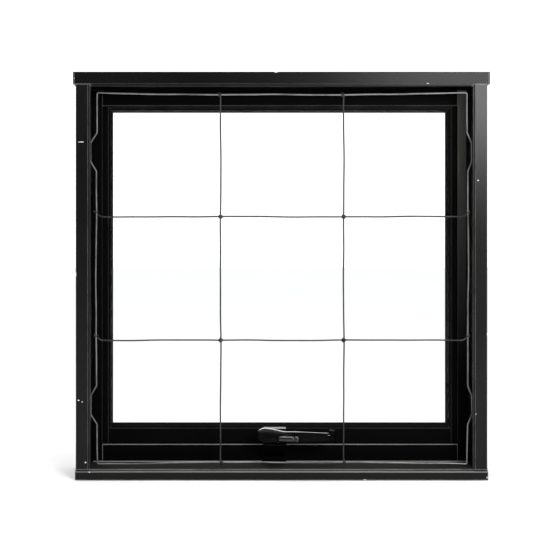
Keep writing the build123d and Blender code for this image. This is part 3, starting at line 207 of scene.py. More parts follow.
class Finish(Tree):
    """A material and the calls that build its nodes."""

    def __init__(self, name):
        self.material = bpy.data.materials.new(name)
        super().__init__(self.material)
        self.place = self.node("ShaderNodeTexCoord", {}, {}, "Object")

    def parts(self, vector):
        """The three components of a vector, as separate fields."""
        return [self.node("ShaderNodeSeparateXYZ", {}, {0: vector}, i) for i in range(3)]

    def millimetres(self):
        """The three object coordinates in millimetres."""
        return [axis * (1 / MM) for axis in self.parts(self.place)]

    def stretched(self, scale, turn=(0.0, 0.0, 0.0)):
        """Object coordinates scaled along each axis and turned."""
        return self.node("ShaderNodeMapping", {}, {"Vector": self.place, "Scale": scale, "Rotation": turn})

    def noise(self, scale, detail=3.0, rough=0.55, vector=None):
        """Soft noise between nought and one."""
        return self.node("ShaderNodeTexNoise", {}, {"Vector": vector or self.place, "Scale": scale,
                                                    "Detail": detail, "Roughness": rough})

    def specks(self, scale):
        """Distance to the nearest of many scattered points."""
        return self.node("ShaderNodeTexVoronoi", {}, {"Vector": self.place, "Scale": scale}, "Distance")

    def step(self, value, low, high):
        """A soft step from nought at low to one at high."""
        return self.node("ShaderNodeMapRange", {"interpolation_type": "SMOOTHSTEP"},
                         {"Value": value, "From Min": low, "From Max": high})

    def blend(self, factor, first, second):
        """A colour between two others."""
        pair = [c if isinstance(c, Field) else (*c, 1.0) for c in (first, second)]
        return self.node("ShaderNodeMix", {"data_type": "RGBA"}, {0: factor, 6: pair[0], 7: pair[1]}, 2)

    def upward(self):
        """How far the surface faces upwards."""
        return self.parts(self.node("ShaderNodeNewGeometry", {}, {}, "Normal"))[2]

    def relief(self, *layers):
        """A normal from layers of (height field, depth in metres), laid one over another."""
        normal = None
        for height, depth in layers:
            sockets = {"Strength": 1.0, "Distance": depth, "Height": height}
            if normal is not None:
                sockets["Normal"] = normal
            normal = self.node("ShaderNodeBump", {}, sockets)
        return normal

    def surface(self, colour, roughness, **sockets):
        """The finish's shader. Constants go straight onto its sockets."""
        named = {key.replace("_", " "): value for key, value in sockets.items()}
        named["Base Color"] = colour if isinstance(colour, Field) else (*colour, 1.0)
        named["Roughness"] = roughness
        return self.node("ShaderNodeBsdfPrincipled", {}, named)

    def painted(self, colour, roughness, **sockets):
        """The material with nothing but that shader on its surface."""
        return self.done(self.surface(colour, roughness, **sockets))

    def done(self, shader):
        """Make a shader the material's surface and give the material back."""
        self.node("ShaderNodeOutputMaterial", {}, {"Surface": shader})
        return self.material


# ---------------------------------------------------------------- finishes, with masks in millimetres
FACE_FROM, FACE_WHOLE = 44.0, 48.5  # towards the room, where the painted recess shade gives way to the face
SIDE_FROM, SIDE_WHOLE = 298.0, 300.0
BACK_FROM, BACK_WHOLE = 44.0, 48.0
TOP_FROM, TOP_WHOLE = 594.0, 596.5
CHIP_FROM, CHIP_WHOLE = 48.5, 49.3
BAND_SOFT = 0.3
# Near black painted on the recessed faces as shade
PAINTED_RECESS_SHADE = (0.0009, 0.0009, 0.0009)
# Pale grey painted on the right inner stop as light falling on it
PAINTED_STOP_LIGHT = (0.085, 0.085, 0.082)
EVEN_GRAIN = (700.0, 700.0, 700.0)


def chipped(f, spots, grain):
    """A mask that is one inside small ragged ellipses on the room face. Each spot is (x, z, half width,
    half height), and noise moves its edge in and out."""
    x, y, z = f.millimetres()
    nearest = None
    for spot_x, spot_z, half_width, half_height in spots:
        across = (x - spot_x) * (1 / half_width)
        along = (z - spot_z) * (1 / half_height)
        here = across * across + along * along
        nearest = here if nearest is None else nearest.least(here)
    return (1 - f.step(nearest + grain * 1.8, 1.5, 1.9)) * f.step(-1 * y, CHIP_FROM, CHIP_WHOLE)


def worn_and_highlit_edges(f, reach):
    """A mask along outward edges, where rays sent into the material soon come out again."""
    covered = f.node("ShaderNodeAmbientOcclusion", {"inside": True, "only_local": True, "samples": 6},
                     {"Distance": reach * MM}, "AO")
    return f.step(1 - covered, 0.10, 0.40)


def facing(f, way, low=0.3, high=0.6):
    """A mask on surfaces that face a way fixed to the piece."""
    along = f.parts(f.node("ShaderNodeTexCoord", {}, {}, "Normal"))
    return f.step(along[0] * float(way[0]) + along[1] * float(way[1]) + along[2] * float(way[2]), low, high)


def satin_paint(name, colour, settings, run="Z", spots=(), outer_wear_and_highlight=0.6, inner_wear_and_highlight=0.1, painted_light_band=None, painted_highlight_bands=(),
                gloss=1.0):
    """Satin paint on an extrusion: faint draw lines along its run, an orange-peel skin, cloudy gloss, settled
    dust, pale specks, pale edges that are partly worn paint and partly a painted highlight, and a few chips
    down to bare metal. The recessed faces are painted near black as shade; the outside faces keep the paint's
    colour and get more coat shine. The listed (y from, y to, z from, z to, strength) bands are paler paint
    painted as highlights; the height range given for the inner stop holds a pale band of painted light, paler
    towards the top."""
    f = Finish(name)
    x, y, z = f.millimetres()
    outside = f.step(x, SIDE_FROM, SIDE_WHOLE) + f.step(-1 * x, SIDE_FROM, SIDE_WHOLE)
    outside = outside + f.step(y, BACK_FROM, BACK_WHOLE) + f.step(z, TOP_FROM, TOP_WHOLE)
    outer_unshaded = f.step(f.step(-1 * y, FACE_FROM, FACE_WHOLE) + outside, 0.0, 1.0)
    patchy = f.step(f.noise(28.0, 4.0, 0.65), 0.25, 0.6) * 0.6 + 0.4
    # Edge mask for pale edges, partly worn paint and partly a painted highlight, stronger on the outer faces.
    edge = worn_and_highlit_edges(f, 1.3) * patchy * (inner_wear_and_highlight + outer_unshaded * (outer_wear_and_highlight - inner_wear_and_highlight))
    cloud = f.noise(9.0, 4.0, 0.6)
    grain = f.noise(900.0, 2.0, 0.5)
    peel = f.noise(420.0, 2.0, 0.45)
    along = (2.0, 700.0, 700.0) if run == "X" else (700.0, 700.0, 2.0)
    lines = f.noise(1.0, 2.0, 0.6, f.stretched(along))
    smears = f.noise(1.0, 3.0, 0.6, f.stretched([7.0 if a < 5 else 60.0 for a in along], (0.15, 0.0, 0.2)))
    dust = f.step(f.noise(130.0, 5.0, 0.7), 0.56, 0.78) * f.step(cloud, 0.4, 0.7)
    settled = f.step(f.upward(), 0.3, 0.95) * f.step(f.noise(45.0, 5.0, 0.65), 0.3, 0.75)
    speck = (1 - f.step(f.specks(170.0), 0.03, 0.06)) * f.step(f.noise(31.0, 2.0), 0.55, 0.6)
    dusty = (dust * 0.35 + settled * 0.8) * settings.dust_amount + speck * 0.5
    base = f.blend(f.step(cloud, 0.3, 0.75) * 0.5, colour, scaled(colour, 1.5))
    # Recessed faces are painted near black as shade.
    base = f.blend(outer_unshaded, PAINTED_RECESS_SHADE, base)
    # Paler bands painted as highlights.
    for y_low, y_high, z_low, z_high, strength in painted_highlight_bands:
        highlight_band = f.step(y, y_low, y_low + BAND_SOFT) * f.step(y_high - y, 0.0, BAND_SOFT)
        highlight_band = highlight_band * f.step(z, z_low, z_low + BAND_SOFT) * f.step(z_high - z, 0.0, BAND_SOFT)
        base = f.blend(highlight_band * (0.35 + smears * 0.9) * strength, base, tuple(settings.wear_and_highlight_tint))
    # A pale band of painted light on the inner stop, paler towards the top.
    if painted_light_band is not None:
        film = f.step(z, painted_light_band[0], painted_light_band[1]) * f.step(y, 9.0, 9.8) * f.step(11.0 - y, 0.2, 0.6)
        base = f.blend(film * (0.5 + smears * 0.6), base, PAINTED_STOP_LIGHT)
    base = f.blend(dusty * (0.25 + outer_unshaded * 0.75), base, settings.dust_colour)
    # Pale edges: partly worn paint, partly a painted highlight.
    base = f.blend(edge, base, settings.wear_and_highlight_tint)
    rough = settings.paint_roughness + (cloud - 0.5) * 0.12 + (smears - 0.5) * 0.14 + dusty * 0.8
    rough = rough + (1 - outer_unshaded) * 0.3
    shine = (0.004 + outer_unshaded * (gloss * settings.face_gloss)) * (0.75 + smears * 0.5) - dusty * 0.2
    if spots:
        bare = chipped(f, spots, grain)
        base = f.blend(bare, base, settings.bare_metal)
        rough = rough + bare * 0.15
    normal = f.relief((peel, 0.000030), (lines, 0.000010), (grain, 0.000005))
    return f.painted(base, rough, Normal=normal, Specular_IOR_Level=0.03, Coat_Weight=shine,
                     Coat_Roughness=0.24)


def cast_enamel(name, colour, settings, roughness, rub, way=None, highlight_grey=0.5, gloss=0.06, cosines=(0.3, 0.6)):
    """Enamel on a casting: soft pits, a cloudy gloss, paler, smoother places where hands have rubbed it, and
    the side that the way points to painted pale as a highlight."""
    f = Finish(name)
    cloud = f.noise(38.0, 4.0, 0.6)
    pits = f.noise(650.0, 3.0, 0.55)
    rubbed = f.step(f.noise(85.0, 4.0, 0.65), 0.5, 0.72) * rub
    scratch = f.noise(1.0, 2.0, 0.5, f.stretched((45.0, 900.0, 900.0), (0.0, 0.35, 0.6)))
    hairs = f.step(scratch, 0.66, 0.7) * rub
    base = f.blend(cloud * 0.4, colour, scaled(colour, 1.8))
    base = f.blend(rubbed * 0.35 + hairs * 0.25, base, scaled(colour, 5))
    dusty = f.step(f.upward(), 0.4, 0.95) * f.step(f.noise(160.0, 4.0, 0.6), 0.4, 0.75)
    dusty = dusty * settings.dust_amount
    base = f.blend(dusty * 0.15, base, settings.dust_colour)
    if way is not None:
        # The side facing the way gets a painted highlight.
        top_highlight = facing(f, way, *cosines) * (0.55 + cloud * 0.6)
        base = f.blend(top_highlight, base, (highlight_grey, highlight_grey, highlight_grey * 0.98))
    rough = roughness + (cloud - 0.5) * 0.16 - rubbed * 0.08 + hairs * 0.1 + dusty * 0.4
    normal = f.relief((cloud, 0.00008), (pits, 0.000025), (scratch, 0.000004))
    return f.painted(base, rough, Normal=normal, Specular_IOR_Level=0.03, Coat_Weight=gloss + rubbed * gloss,
                     Coat_Roughness=0.16)


def zinc_wire(name, colour):
    """Galvanised wire: mottled zinc bloom, darker handled stretches, drawing lines and a few rusty specks."""
    f = Finish(name)
    bloom = f.noise(160.0, 4.0, 0.6)
    handled = f.step(f.noise(22.0, 3.0, 0.6), 0.42, 0.68)
    rust = f.step(f.noise(95.0, 4.0, 0.7), 0.70, 0.78)
    base = f.blend(bloom, scaled(colour, 0.55), scaled(colour, 1.5))
    base = f.blend(handled * 0.6, base, scaled(colour, 0.3))
    base = f.blend(rust * 0.7, base, (0.10, 0.045, 0.02))
    rough = 0.42 + bloom * 0.2 + handled * 0.1 + rust * 0.25
    normal = f.relief((bloom, 0.00004), (f.noise(900.0, 2.0), 0.000015))
    return f.painted(base, rough, Metallic=0.85 - rust * 0.8, Normal=normal)


def plated_steel(name, colour, roughness, run=(900.0, 30.0, 900.0), greasy=0.0):
    """Plated or turned steel: fine brushed lines, cloudy plating and darker stains of old grease."""
    f = Finish(name)
    brushed = f.noise(1.0, 2.0, 0.6, f.stretched(run))
    cloud = f.noise(120.0, 4.0, 0.6)
    grease = f.step(f.noise(70.0, 4.0, 0.65), 0.5, 0.66) * greasy
    base = f.blend(cloud, scaled(colour, 0.7), scaled(colour, 1.2))
    base = f.blend(grease, base, (0.035, 0.028, 0.018))
    rough = roughness + (brushed - 0.5) * 0.16 + (cloud - 0.5) * 0.12 - grease * 0.1
    normal = f.relief((brushed, 0.00002), (cloud, 0.00003))
    return f.painted(base, rough, Metallic=1.0 - grease * 0.7, Normal=normal)


def moulded(name, colour, roughness, skin=300.0, depth=0.00003, soil=0.3):
    """Moulded rubber or plastic: an even fine skin, uneven gloss and a little soiling."""
    f = Finish(name)
    cloud = f.noise(26.0, 4.0, 0.6)
    grain = f.noise(skin, 3.0, 0.55)
    soiled = f.step(f.noise(75.0, 5.0, 0.65), 0.5, 0.75) * soil
    base = f.blend(cloud * 0.6, colour, scaled(colour, 1.5))
    base = f.blend(soiled, base, [c * 0.5 + 0.02 for c in colour])
    rough = roughness + (cloud - 0.5) * 0.15 + soiled * 0.2
    normal = f.relief((grain, depth), (cloud, depth * 3))
    return f.painted(base, rough, Normal=normal, Specular_IOR_Level=0.25)


def window_glass(name):
    """Clear glass with a mirror film that grows towards grazing angles, faint dust and wipe marks."""
    f = Finish(name)
    wiped = f.noise(1.0, 4.0, 0.6, f.stretched((14.0, 14.0, 3.0), (0.0, 0.5, 0.0)))
    dust = f.step(f.noise(240.0, 5.0, 0.7), 0.62, 0.8) * 0.05 + f.step(wiped, 0.55, 0.8) * 0.02
    film = f.surface(f.blend(dust, (0.20, 0.22, 0.21), (0.60, 0.59, 0.57)), 0.03 + dust * 3.0,
                     Specular_IOR_Level=0.8)
    clear = f.node("ShaderNodeBsdfTransparent", {}, {0: (0.990, 0.996, 0.993, 1.0)})
    edge_on = f.node("ShaderNodeLayerWeight", {}, {"Blend": 0.12})
    factor = 0.003 + edge_on * 0.08 + dust * 0.4
    return f.done(f.node("ShaderNodeMixShader", {}, {0: factor, 1: clear, 2: film}))


def plain_floor(name):
    """Pale matt floor with the slightest unevenness."""
    f = Finish(name)
    cloud = f.noise(1.5, 3.0, 0.5)
    pale = f.blend(cloud, (0.86, 0.86, 0.86), (0.90, 0.90, 0.90))
    return f.painted(pale, 0.75 + cloud * 0.1, Specular_IOR_Level=0.1)


def scaled(colour, factor):
    """A colour made paler or darker."""
    return [min(1.0, c * factor) for c in colour]


def dress(material, *nodes):
    """Give CAD nodes a finish."""
    for name in nodes:
        slots = frame["nodes"][name].data.materials
        if not slots:
            slots.append(material)
        for i in range(len(slots)):
            slots[i] = material


# ---------------------------------------------------------------- surfaces
def grid_faces(rows, columns, close_rows=False, close_columns=True):
    """Quads of a grid of points whose row index runs slowest, optionally joined up each way."""
    i = np.arange(rows if close_rows else rows - 1)
    j = np.arange(columns if close_columns else columns - 1)
    i, j = np.meshgrid(i, j, indexing="ij")
    below, beside = (i + 1) % rows, (j + 1) % columns
    quads = (i * columns + j, i * columns + beside, below * columns + beside, below * columns + j)
    return np.stack(quads, -1).reshape(-1, 4)


def outward(part):
    """The part with its faces turned round if the volume that they enclose, summed over tetrahedra from its
    middle, comes out negative."""
    points, quads, fans = part
    corner = points - points.mean(0)
    a, b, c, d = (corner[quads[:, k]] for k in range(4))
    volume = np.sum(a * np.cross(b, c)) + np.sum(a * np.cross(c, d))
    for fan in fans:
        rim = corner[np.asarray(fan)]
        volume += np.sum(rim[0] * np.cross(rim[1:-1], rim[2:]))
    return part if volume > 0 else (points, quads[:, ::-1], [np.asarray(fan)[::-1] for fan in fans])


def build(name, parts, material, body, stands_for=()):
    """One object from several (points in millimetres, quads, end fans) parts, with smooth faces."""
    points, quads, fans, base = [], [], [], 0
    for part_points, part_quads, part_fans in map(outward, parts):
        points.append(part_points)
        quads.append(part_quads + base)
        fans += [(np.asarray(fan) + base).tolist() for fan in part_fans]
        base += len(part_points)
    mesh = bpy.data.meshes.new(name)
    faces = np.concatenate(quads).tolist() + fans
    mesh.from_pydata((np.concatenate(points) * MM).tolist(), [], faces)
    mesh.polygons.foreach_set("use_smooth", [len(face) == 4 for face in faces])
    mesh.materials.append(material)
    mesh.update()
    piece = bpy.data.objects.new(name, mesh)
    bpy.context.scene.collection.objects.link(piece)
    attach(piece, body)
    if stands_for:
        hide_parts(*stands_for)
    return piece


def unit(vectors):
    """Vectors scaled to length one."""
    return vectors / np.maximum(np.linalg.norm(vectors, axis=-1, keepdims=True), 1e-12)


def tube(path, radius, reference, sides=12, closed=False):
    """A round wire: every point of the path carries a circle square to the path. The circle's first axis is
    the path's direction crossed with a reference direction, its second axis is square to both."""
    if closed:
        along = np.roll(path, -1, 0) - np.roll(path, 1, 0)
    else:
        along = np.gradient(path, axis=0)
    along = unit(along)
    first = unit(np.cross(along, reference))
    second = np.cross(along, first)
    turn = np.linspace(0, 2 * pi, sides, endpoint=False)
    radii = np.broadcast_to(np.asarray(radius, float), (len(path),))[:, None, None]
    ring = np.cos(turn)[None, :, None] * first[:, None] + np.sin(turn)[None, :, None] * second[:, None]
    points = (path[:, None] + radii * ring).reshape(-1, 3)
    fans = [] if closed else [np.arange(sides), np.arange(len(points) - sides, len(points))[::-1]]
    return points, grid_faces(len(path), sides, closed)[:, ::-1], [f[::-1] for f in fans]


def turned(profile, origin, axis, sides=40, dent=None):
    """A turned piece: (distance along the axis, radius) pairs swept round the axis. The first and last radius
    are nought. A dent lowers points along the axis by a function of their two cross coordinates."""
    side = unit(np.cross(axis, X_AXIS if abs(axis[0]) < 0.8 else Z_AXIS))
    other = np.cross(axis, side)
    along, radius = np.asarray(profile, float).T
    turn = np.linspace(0, 2 * pi, sides, endpoint=False)
    a, b = radius[:, None] * np.cos(turn), radius[:, None] * np.sin(turn)
    height = np.broadcast_to(along[:, None], a.shape)
    if dent is not None:
        height = height - dent(a, b, height)
    points = origin + a[..., None] * side + b[..., None] * other + height[..., None] * axis
    points = points.reshape(-1, 3)
    first, last = points[0], points[-1]
    inner = points[sides:-sides]
    rows = len(along) - 2
    points = np.concatenate((inner, first[None], last[None]))
    quads = grid_faces(rows, sides)
    rim = np.arange(sides)
    beside, last_row = (rim + 1) % sides, (rows - 1) * sides
    top, foot = np.full(sides, rows * sides), np.full(sides, rows * sides + 1)
    first_end = np.stack((rim, beside, top), -1)
    last_end = np.stack((last_row + beside, last_row + rim, foot), -1)
    return points, quads, list(np.concatenate((first_end, last_end)))


def rounded(points, spacing, reach, closed=False):
    """A polyline resampled evenly and softened by a bell-shaped running mean, so that its bends are round."""
    points = np.asarray(points, float)
    if closed:
        points = np.concatenate((points, points[:1]))
    run = np.concatenate(([0.0], np.cumsum(np.linalg.norm(np.diff(points, axis=0), axis=1))))
    count = max(8, int(run[-1] / spacing))
    at = np.linspace(0, run[-1], count, endpoint=not closed)
    even = np.stack([np.interp(at, run, points[:, k]) for k in range(3)], -1)
    half = max(1, int(3 * reach / spacing))
    bell = np.exp(-0.5 * (np.arange(-half, half + 1) * spacing / reach) ** 2)
    bell /= bell.sum()
    if closed:
        padded = np.concatenate((even[-half:], even, even[:half]))
    else:
        before = 2 * even[0] - even[half:0:-1]
        after = 2 * even[-1] - even[-2:-half - 2:-1]
        padded = np.concatenate((before, even, after))
    return np.stack([np.convolve(padded[:, k], bell, "valid") for k in range(3)], -1)


def coil(centre, axis, start, radius, turns, rise, steps=26):
    """Points of a helix: radius times the start direction turned round the axis, plus a rise along it."""
    turn = np.linspace(0, 2 * pi * turns, int(steps * turns) + 1)[:, None]
    first = unit(start - np.dot(start, axis) * axis)
    second = np.cross(axis, first)
    return centre + radius * (np.cos(turn) * first + np.sin(turn) * second) + axis * rise * turn / (2 * pi)


def loft(centres, halves, first, second, power=2.6, sides=36):
    """A bar whose section is a superellipse: at each station the half sizes along two directions are scaled
    by the signed cosine and sine of a turn, each raised to 2 over the power."""
    turn = np.linspace(0, 2 * pi, sides, endpoint=False)
    shape_a = np.sign(np.cos(turn)) * np.abs(np.cos(turn)) ** (2 / power)
    shape_b = np.sign(np.sin(turn)) * np.abs(np.sin(turn)) ** (2 / power)
    ring = halves[:, :1, None] * shape_a[None, :, None] * first
    ring = ring + halves[:, 1:2, None] * shape_b[None, :, None] * second
    points = (centres[:, None] + ring).reshape(-1, 3)
    fans = [np.arange(sides), np.arange(len(points) - sides, len(points))[::-1]]
    return points, grid_faces(len(centres), sides)[:, ::-1], [f[::-1] for f in fans]


def strip(section, start, end, first, second):
    """A closed section of (first, second) pairs carried straight from start to end."""
    ring = section[:, :1] * first + section[:, 1:] * second
    points = np.concatenate((start + ring, end + ring))
    count = len(section)
    return points, grid_faces(2, count), [np.arange(count)[::-1], np.arange(count, 2 * count)]


# ---------------------------------------------------------------- wire guard routes, in millimetres
KINK_STRAIGHT, KINK_SLOPE, KINK_INSET = 28.0, 14.5, 87.0
EDGE_BOW = 2.4
HOOK_RISE, HOOK_RUN = 5.0, 7.0
HOOK_TURNS, HOOK_GAP, COIL_GAP = 1.3, 0.05, 0.2
WAVE_SIZES = (1, 0.6, 0.3)
TIE_SPREAD = 1.05  # pitch of the tie wire's turns over its thickness


def edge_route(low, high, middle, half, kink_x, columns, depth):
    """Corner points of the edge wire, clockwise seen from the room: each side has two outward kinks and a
    slight bow between them, and the long edges bow inwards where the uprights hook on."""
    waist, kink = (low + high) / 2, KINK_STRAIGHT / 2 + KINK_SLOPE
    sides = []
    for side in SIDES:
        points = [(middle + side * half, low)]
        for centre in (low + KINK_INSET, high - KINK_INSET):
            for rise, out in ((-kink, 0), (-KINK_STRAIGHT / 2, 1), (KINK_STRAIGHT / 2, 1), (kink, 0)):
                bow = EDGE_BOW * (0.35 if (centre < waist) == (rise < 0) else 0.8)
                points.append((side * kink_x if out else middle + side * (half + bow), centre + rise))
        points.insert(5, (middle + side * (half + EDGE_BOW), waist))
        sides.append(points + [(middle + side * half, high)])
    top = [(x, high - EDGE_BOW * 0.9) for x in columns]
    foot = [(x, low + EDGE_BOW * 0.9) for x in columns[::-1]]
    flat = np.array(sides[0] + top + sides[1][::-1] + foot)
    return np.column_stack((flat[:, 0], np.full(len(flat), depth), flat[:, 1]))


def strayed(path, amount, seed):
    """A hand-bent wire: sums of slow sines of the distance along it move it a little, square to the room face
    and within it."""
    run = np.concatenate(([0.0], np.cumsum(np.linalg.norm(np.diff(path, axis=0), axis=1))))
    phase = np.random.default_rng(seed).uniform(0, 2 * pi, 6)
    sway, drift = (sum(size * np.sin(run / wave + start) for size, wave, start in zip(WAVE_SIZES, *pair))
                   for pair in (((31, 17, 9), phase[:3]), ((43, 21, 11), phase[3:])))
    ends = np.minimum(1, np.minimum(run, run[-1] - run) / 20)
    along = unit(np.gradient(path, axis=0))
    inside = np.cross(along, Y_AXIS)
    return path + (amount * ends * sway)[:, None] * Y_AXIS + (amount * ends * drift)[:, None] * inside


def wound_tie(centre, lean, thin, radius, turns):
    """Thin wire wound round a crossing along one diagonal, with a short straight tail."""
    axis = unit(np.array((1.0, 0.0, float(lean))))
    pitch = 2 * thin * TIE_SPREAD
    wound = coil(centre - axis * pitch * turns / 2, axis, -Y_AXIS, radius, turns, pitch)
    tail = wound[-1] + unit(wound[-1] - wound[-2]) * np.linspace(0.4, 3.4, 8)[:, None]
    return tube(np.concatenate((wound, tail)), thin, axis, 8)


# ---------------------------------------------------------------- operators
class WINDOW_OT_frame_finish(bpy.types.Operator):
    """Satin paint and moulded caps of the outer frame"""

    bl_idname = "window.frame_finish"
    bl_label = "Outer frame finish"

    def execute(self, context):
        s = context.scene.window_finish
        black = tuple(s.frame_colour)
        left_spots = [(-293.0, 494.6, 4.6, 0.55), (-296.8, 117.0, 1.5, 0.8), (-291.5, 114.6, 0.9, 0.8),
                      (-286.6, 26.0, 1.3, 1.2), (-300.6, 301.0, 0.5, 3.5)]
        right_spots = [(287.3, 438.5, 1.2, 0.9), (300.7, 214.0, 0.4, 2.6), (284.4, 97.0, 0.5, 1.0)]
        head_spots = [(-8.0, 596.8, 2.6, 0.7), (214.0, 580.2, 1.6, 0.5), (-303.5, 588.0, 0.9, 0.6)]
        sill_spots = [(-281.0, 11.8, 1.1, 0.8), (122.0, 1.0, 2.2, 0.6), (300.5, 4.0, 0.9, 1.2)]
        # Paler bands painted on the sill as highlights: at the foot of the upstand, along its top, along the
        # nose and faintly over the flat top.
        sill_painted_highlights = ((5.0, 8.0, 15.4, 20.0, 1.0), (-60.0, 60.0, 40.3, 60.0, 0.7),
                     (-60.0, -47.0, 11.0, 13.7, 0.4), (-46.0, 5.0, 11.0, 20.0, 0.08))
        dress(satin_paint("head paint", black, s, "X", head_spots, inner_wear_and_highlight=0.3, gloss=0.4),
              "head", "head_hinge_rail")
        dress(satin_paint("sill paint", black, s, "X", sill_spots, 1.0, 0.9, painted_highlight_bands=sill_painted_highlights), "sill")
        dress(satin_paint("left jamb paint", black, s, "Z", left_spots), "jamb_left")
        # The right jamb's inner stop gets a pale band of painted light.
        dress(satin_paint("right jamb paint", black, s, "Z", right_spots, 0.7, painted_light_band=(120.0, 560.0)),
              "jamb_right")
        dress(moulded("end cap plastic", (0.011, 0.011, 0.0112), 0.42), "head_end_caps", "sill_end_caps")
        return {"FINISHED"}


class WINDOW_OT_sash_finish(bpy.types.Operator):
    """Satin paint of the sash, its beads and its operator tracks"""

    bl_idname = "window.sash_finish"
    bl_label = "Sash finish"

    def execute(self, context):
        s = context.scene.window_finish
        black = tuple(s.sash_colour)
        dress(satin_paint("sash rail paint", black, s, "X"), "sash_top_rail", "sash_bottom_rail",
              "glazing_bead_top", "glazing_bead_bottom")
        dress(satin_paint("sash stile paint", black, s, "Z"), "sash_stile_left", "sash_stile_right",
              "glazing_bead_left", "glazing_bead_right")
        dress(plated_steel("track plating", (0.46, 0.46, 0.45), 0.38, (30.0, 900.0, 900.0), 0.6),
              "sash_track_left", "sash_track_right")
        dress(plated_steel("rivet steel", (0.50, 0.50, 0.49), 0.34), "track_rivets")
        return {"FINISHED"}


class WINDOW_OT_glazing(bpy.types.Operator):
    """Both panes, the spacer, the gaskets and the setting blocks"""

    bl_idname = "window.glazing"
    bl_label = "Glazing"

    def execute(self, context):
        dress(window_glass("window glass"), "glass_outer", "glass_inner")
        dress(plated_steel("spacer metal", (0.004, 0.004, 0.004), 0.85), "glass_spacer")
        rubber = moulded("gasket rubber", (0.002, 0.002, 0.002), 0.85, 500.0, 0.00002, 0.4)
        dress(rubber, "glazing_gasket_outer", "glazing_gasket_inner")
        dress(moulded("setting block rubber", (0.07, 0.07, 0.07), 0.7), "setting_blocks")
        return {"FINISHED"}


class WINDOW_OT_weatherseal(bpy.types.Operator):
    """Bulb seals on the outdoor side of the stops"""

    bl_idname = "window.weatherseal"
    bl_label = "Weatherseal"

    def execute(self, context):
        s = context.scene.window_hardware
        low, high = corners("frame_seal")
        bulb = s.seal_bulb / MM
        wide, deep, notch = 4.0, high[1] - low[1], 13.0
        turn = np.linspace(0, 2 * pi, 28, endpoint=False)
        section = np.column_stack((np.cos(turn) * wide / 2, deep / 2 + np.sin(turn) * bulb))
        foot = np.sin(turn) < -0.5
        section[foot, 1] = 0.0
        start = low[1]
        inner = high[0] - wide / 2
        rubber = moulded("weatherseal rubber", (0.010, 0.010, 0.010), 0.55, 420.0, 0.00002, 0.5)
        parts = []
        for side in SIDES:
            base = np.array((side * inner, start, low[2]))
            parts.append(strip(section, base, base + Z_AXIS * (high[2] - low[2]), X_AXIS, Y_AXIS))
        middle = joint_place("crank_turn")[0][0]
        level = corners("sill")[1][2] - 2.6
        reach = inner - wide / 2
        for x0, x1, z in ((-reach, reach, high[2] - 6.0), (-reach, middle - notch, level),
                          (middle + notch, reach, level)):
            base = np.array((x0, start, z))
            parts.append(strip(section, base, base + X_AXIS * (x1 - x0), Z_AXIS, Y_AXIS))
        build("weatherseal", parts, rubber, "frame", ("frame_seal",))
        return {"FINISHED"}


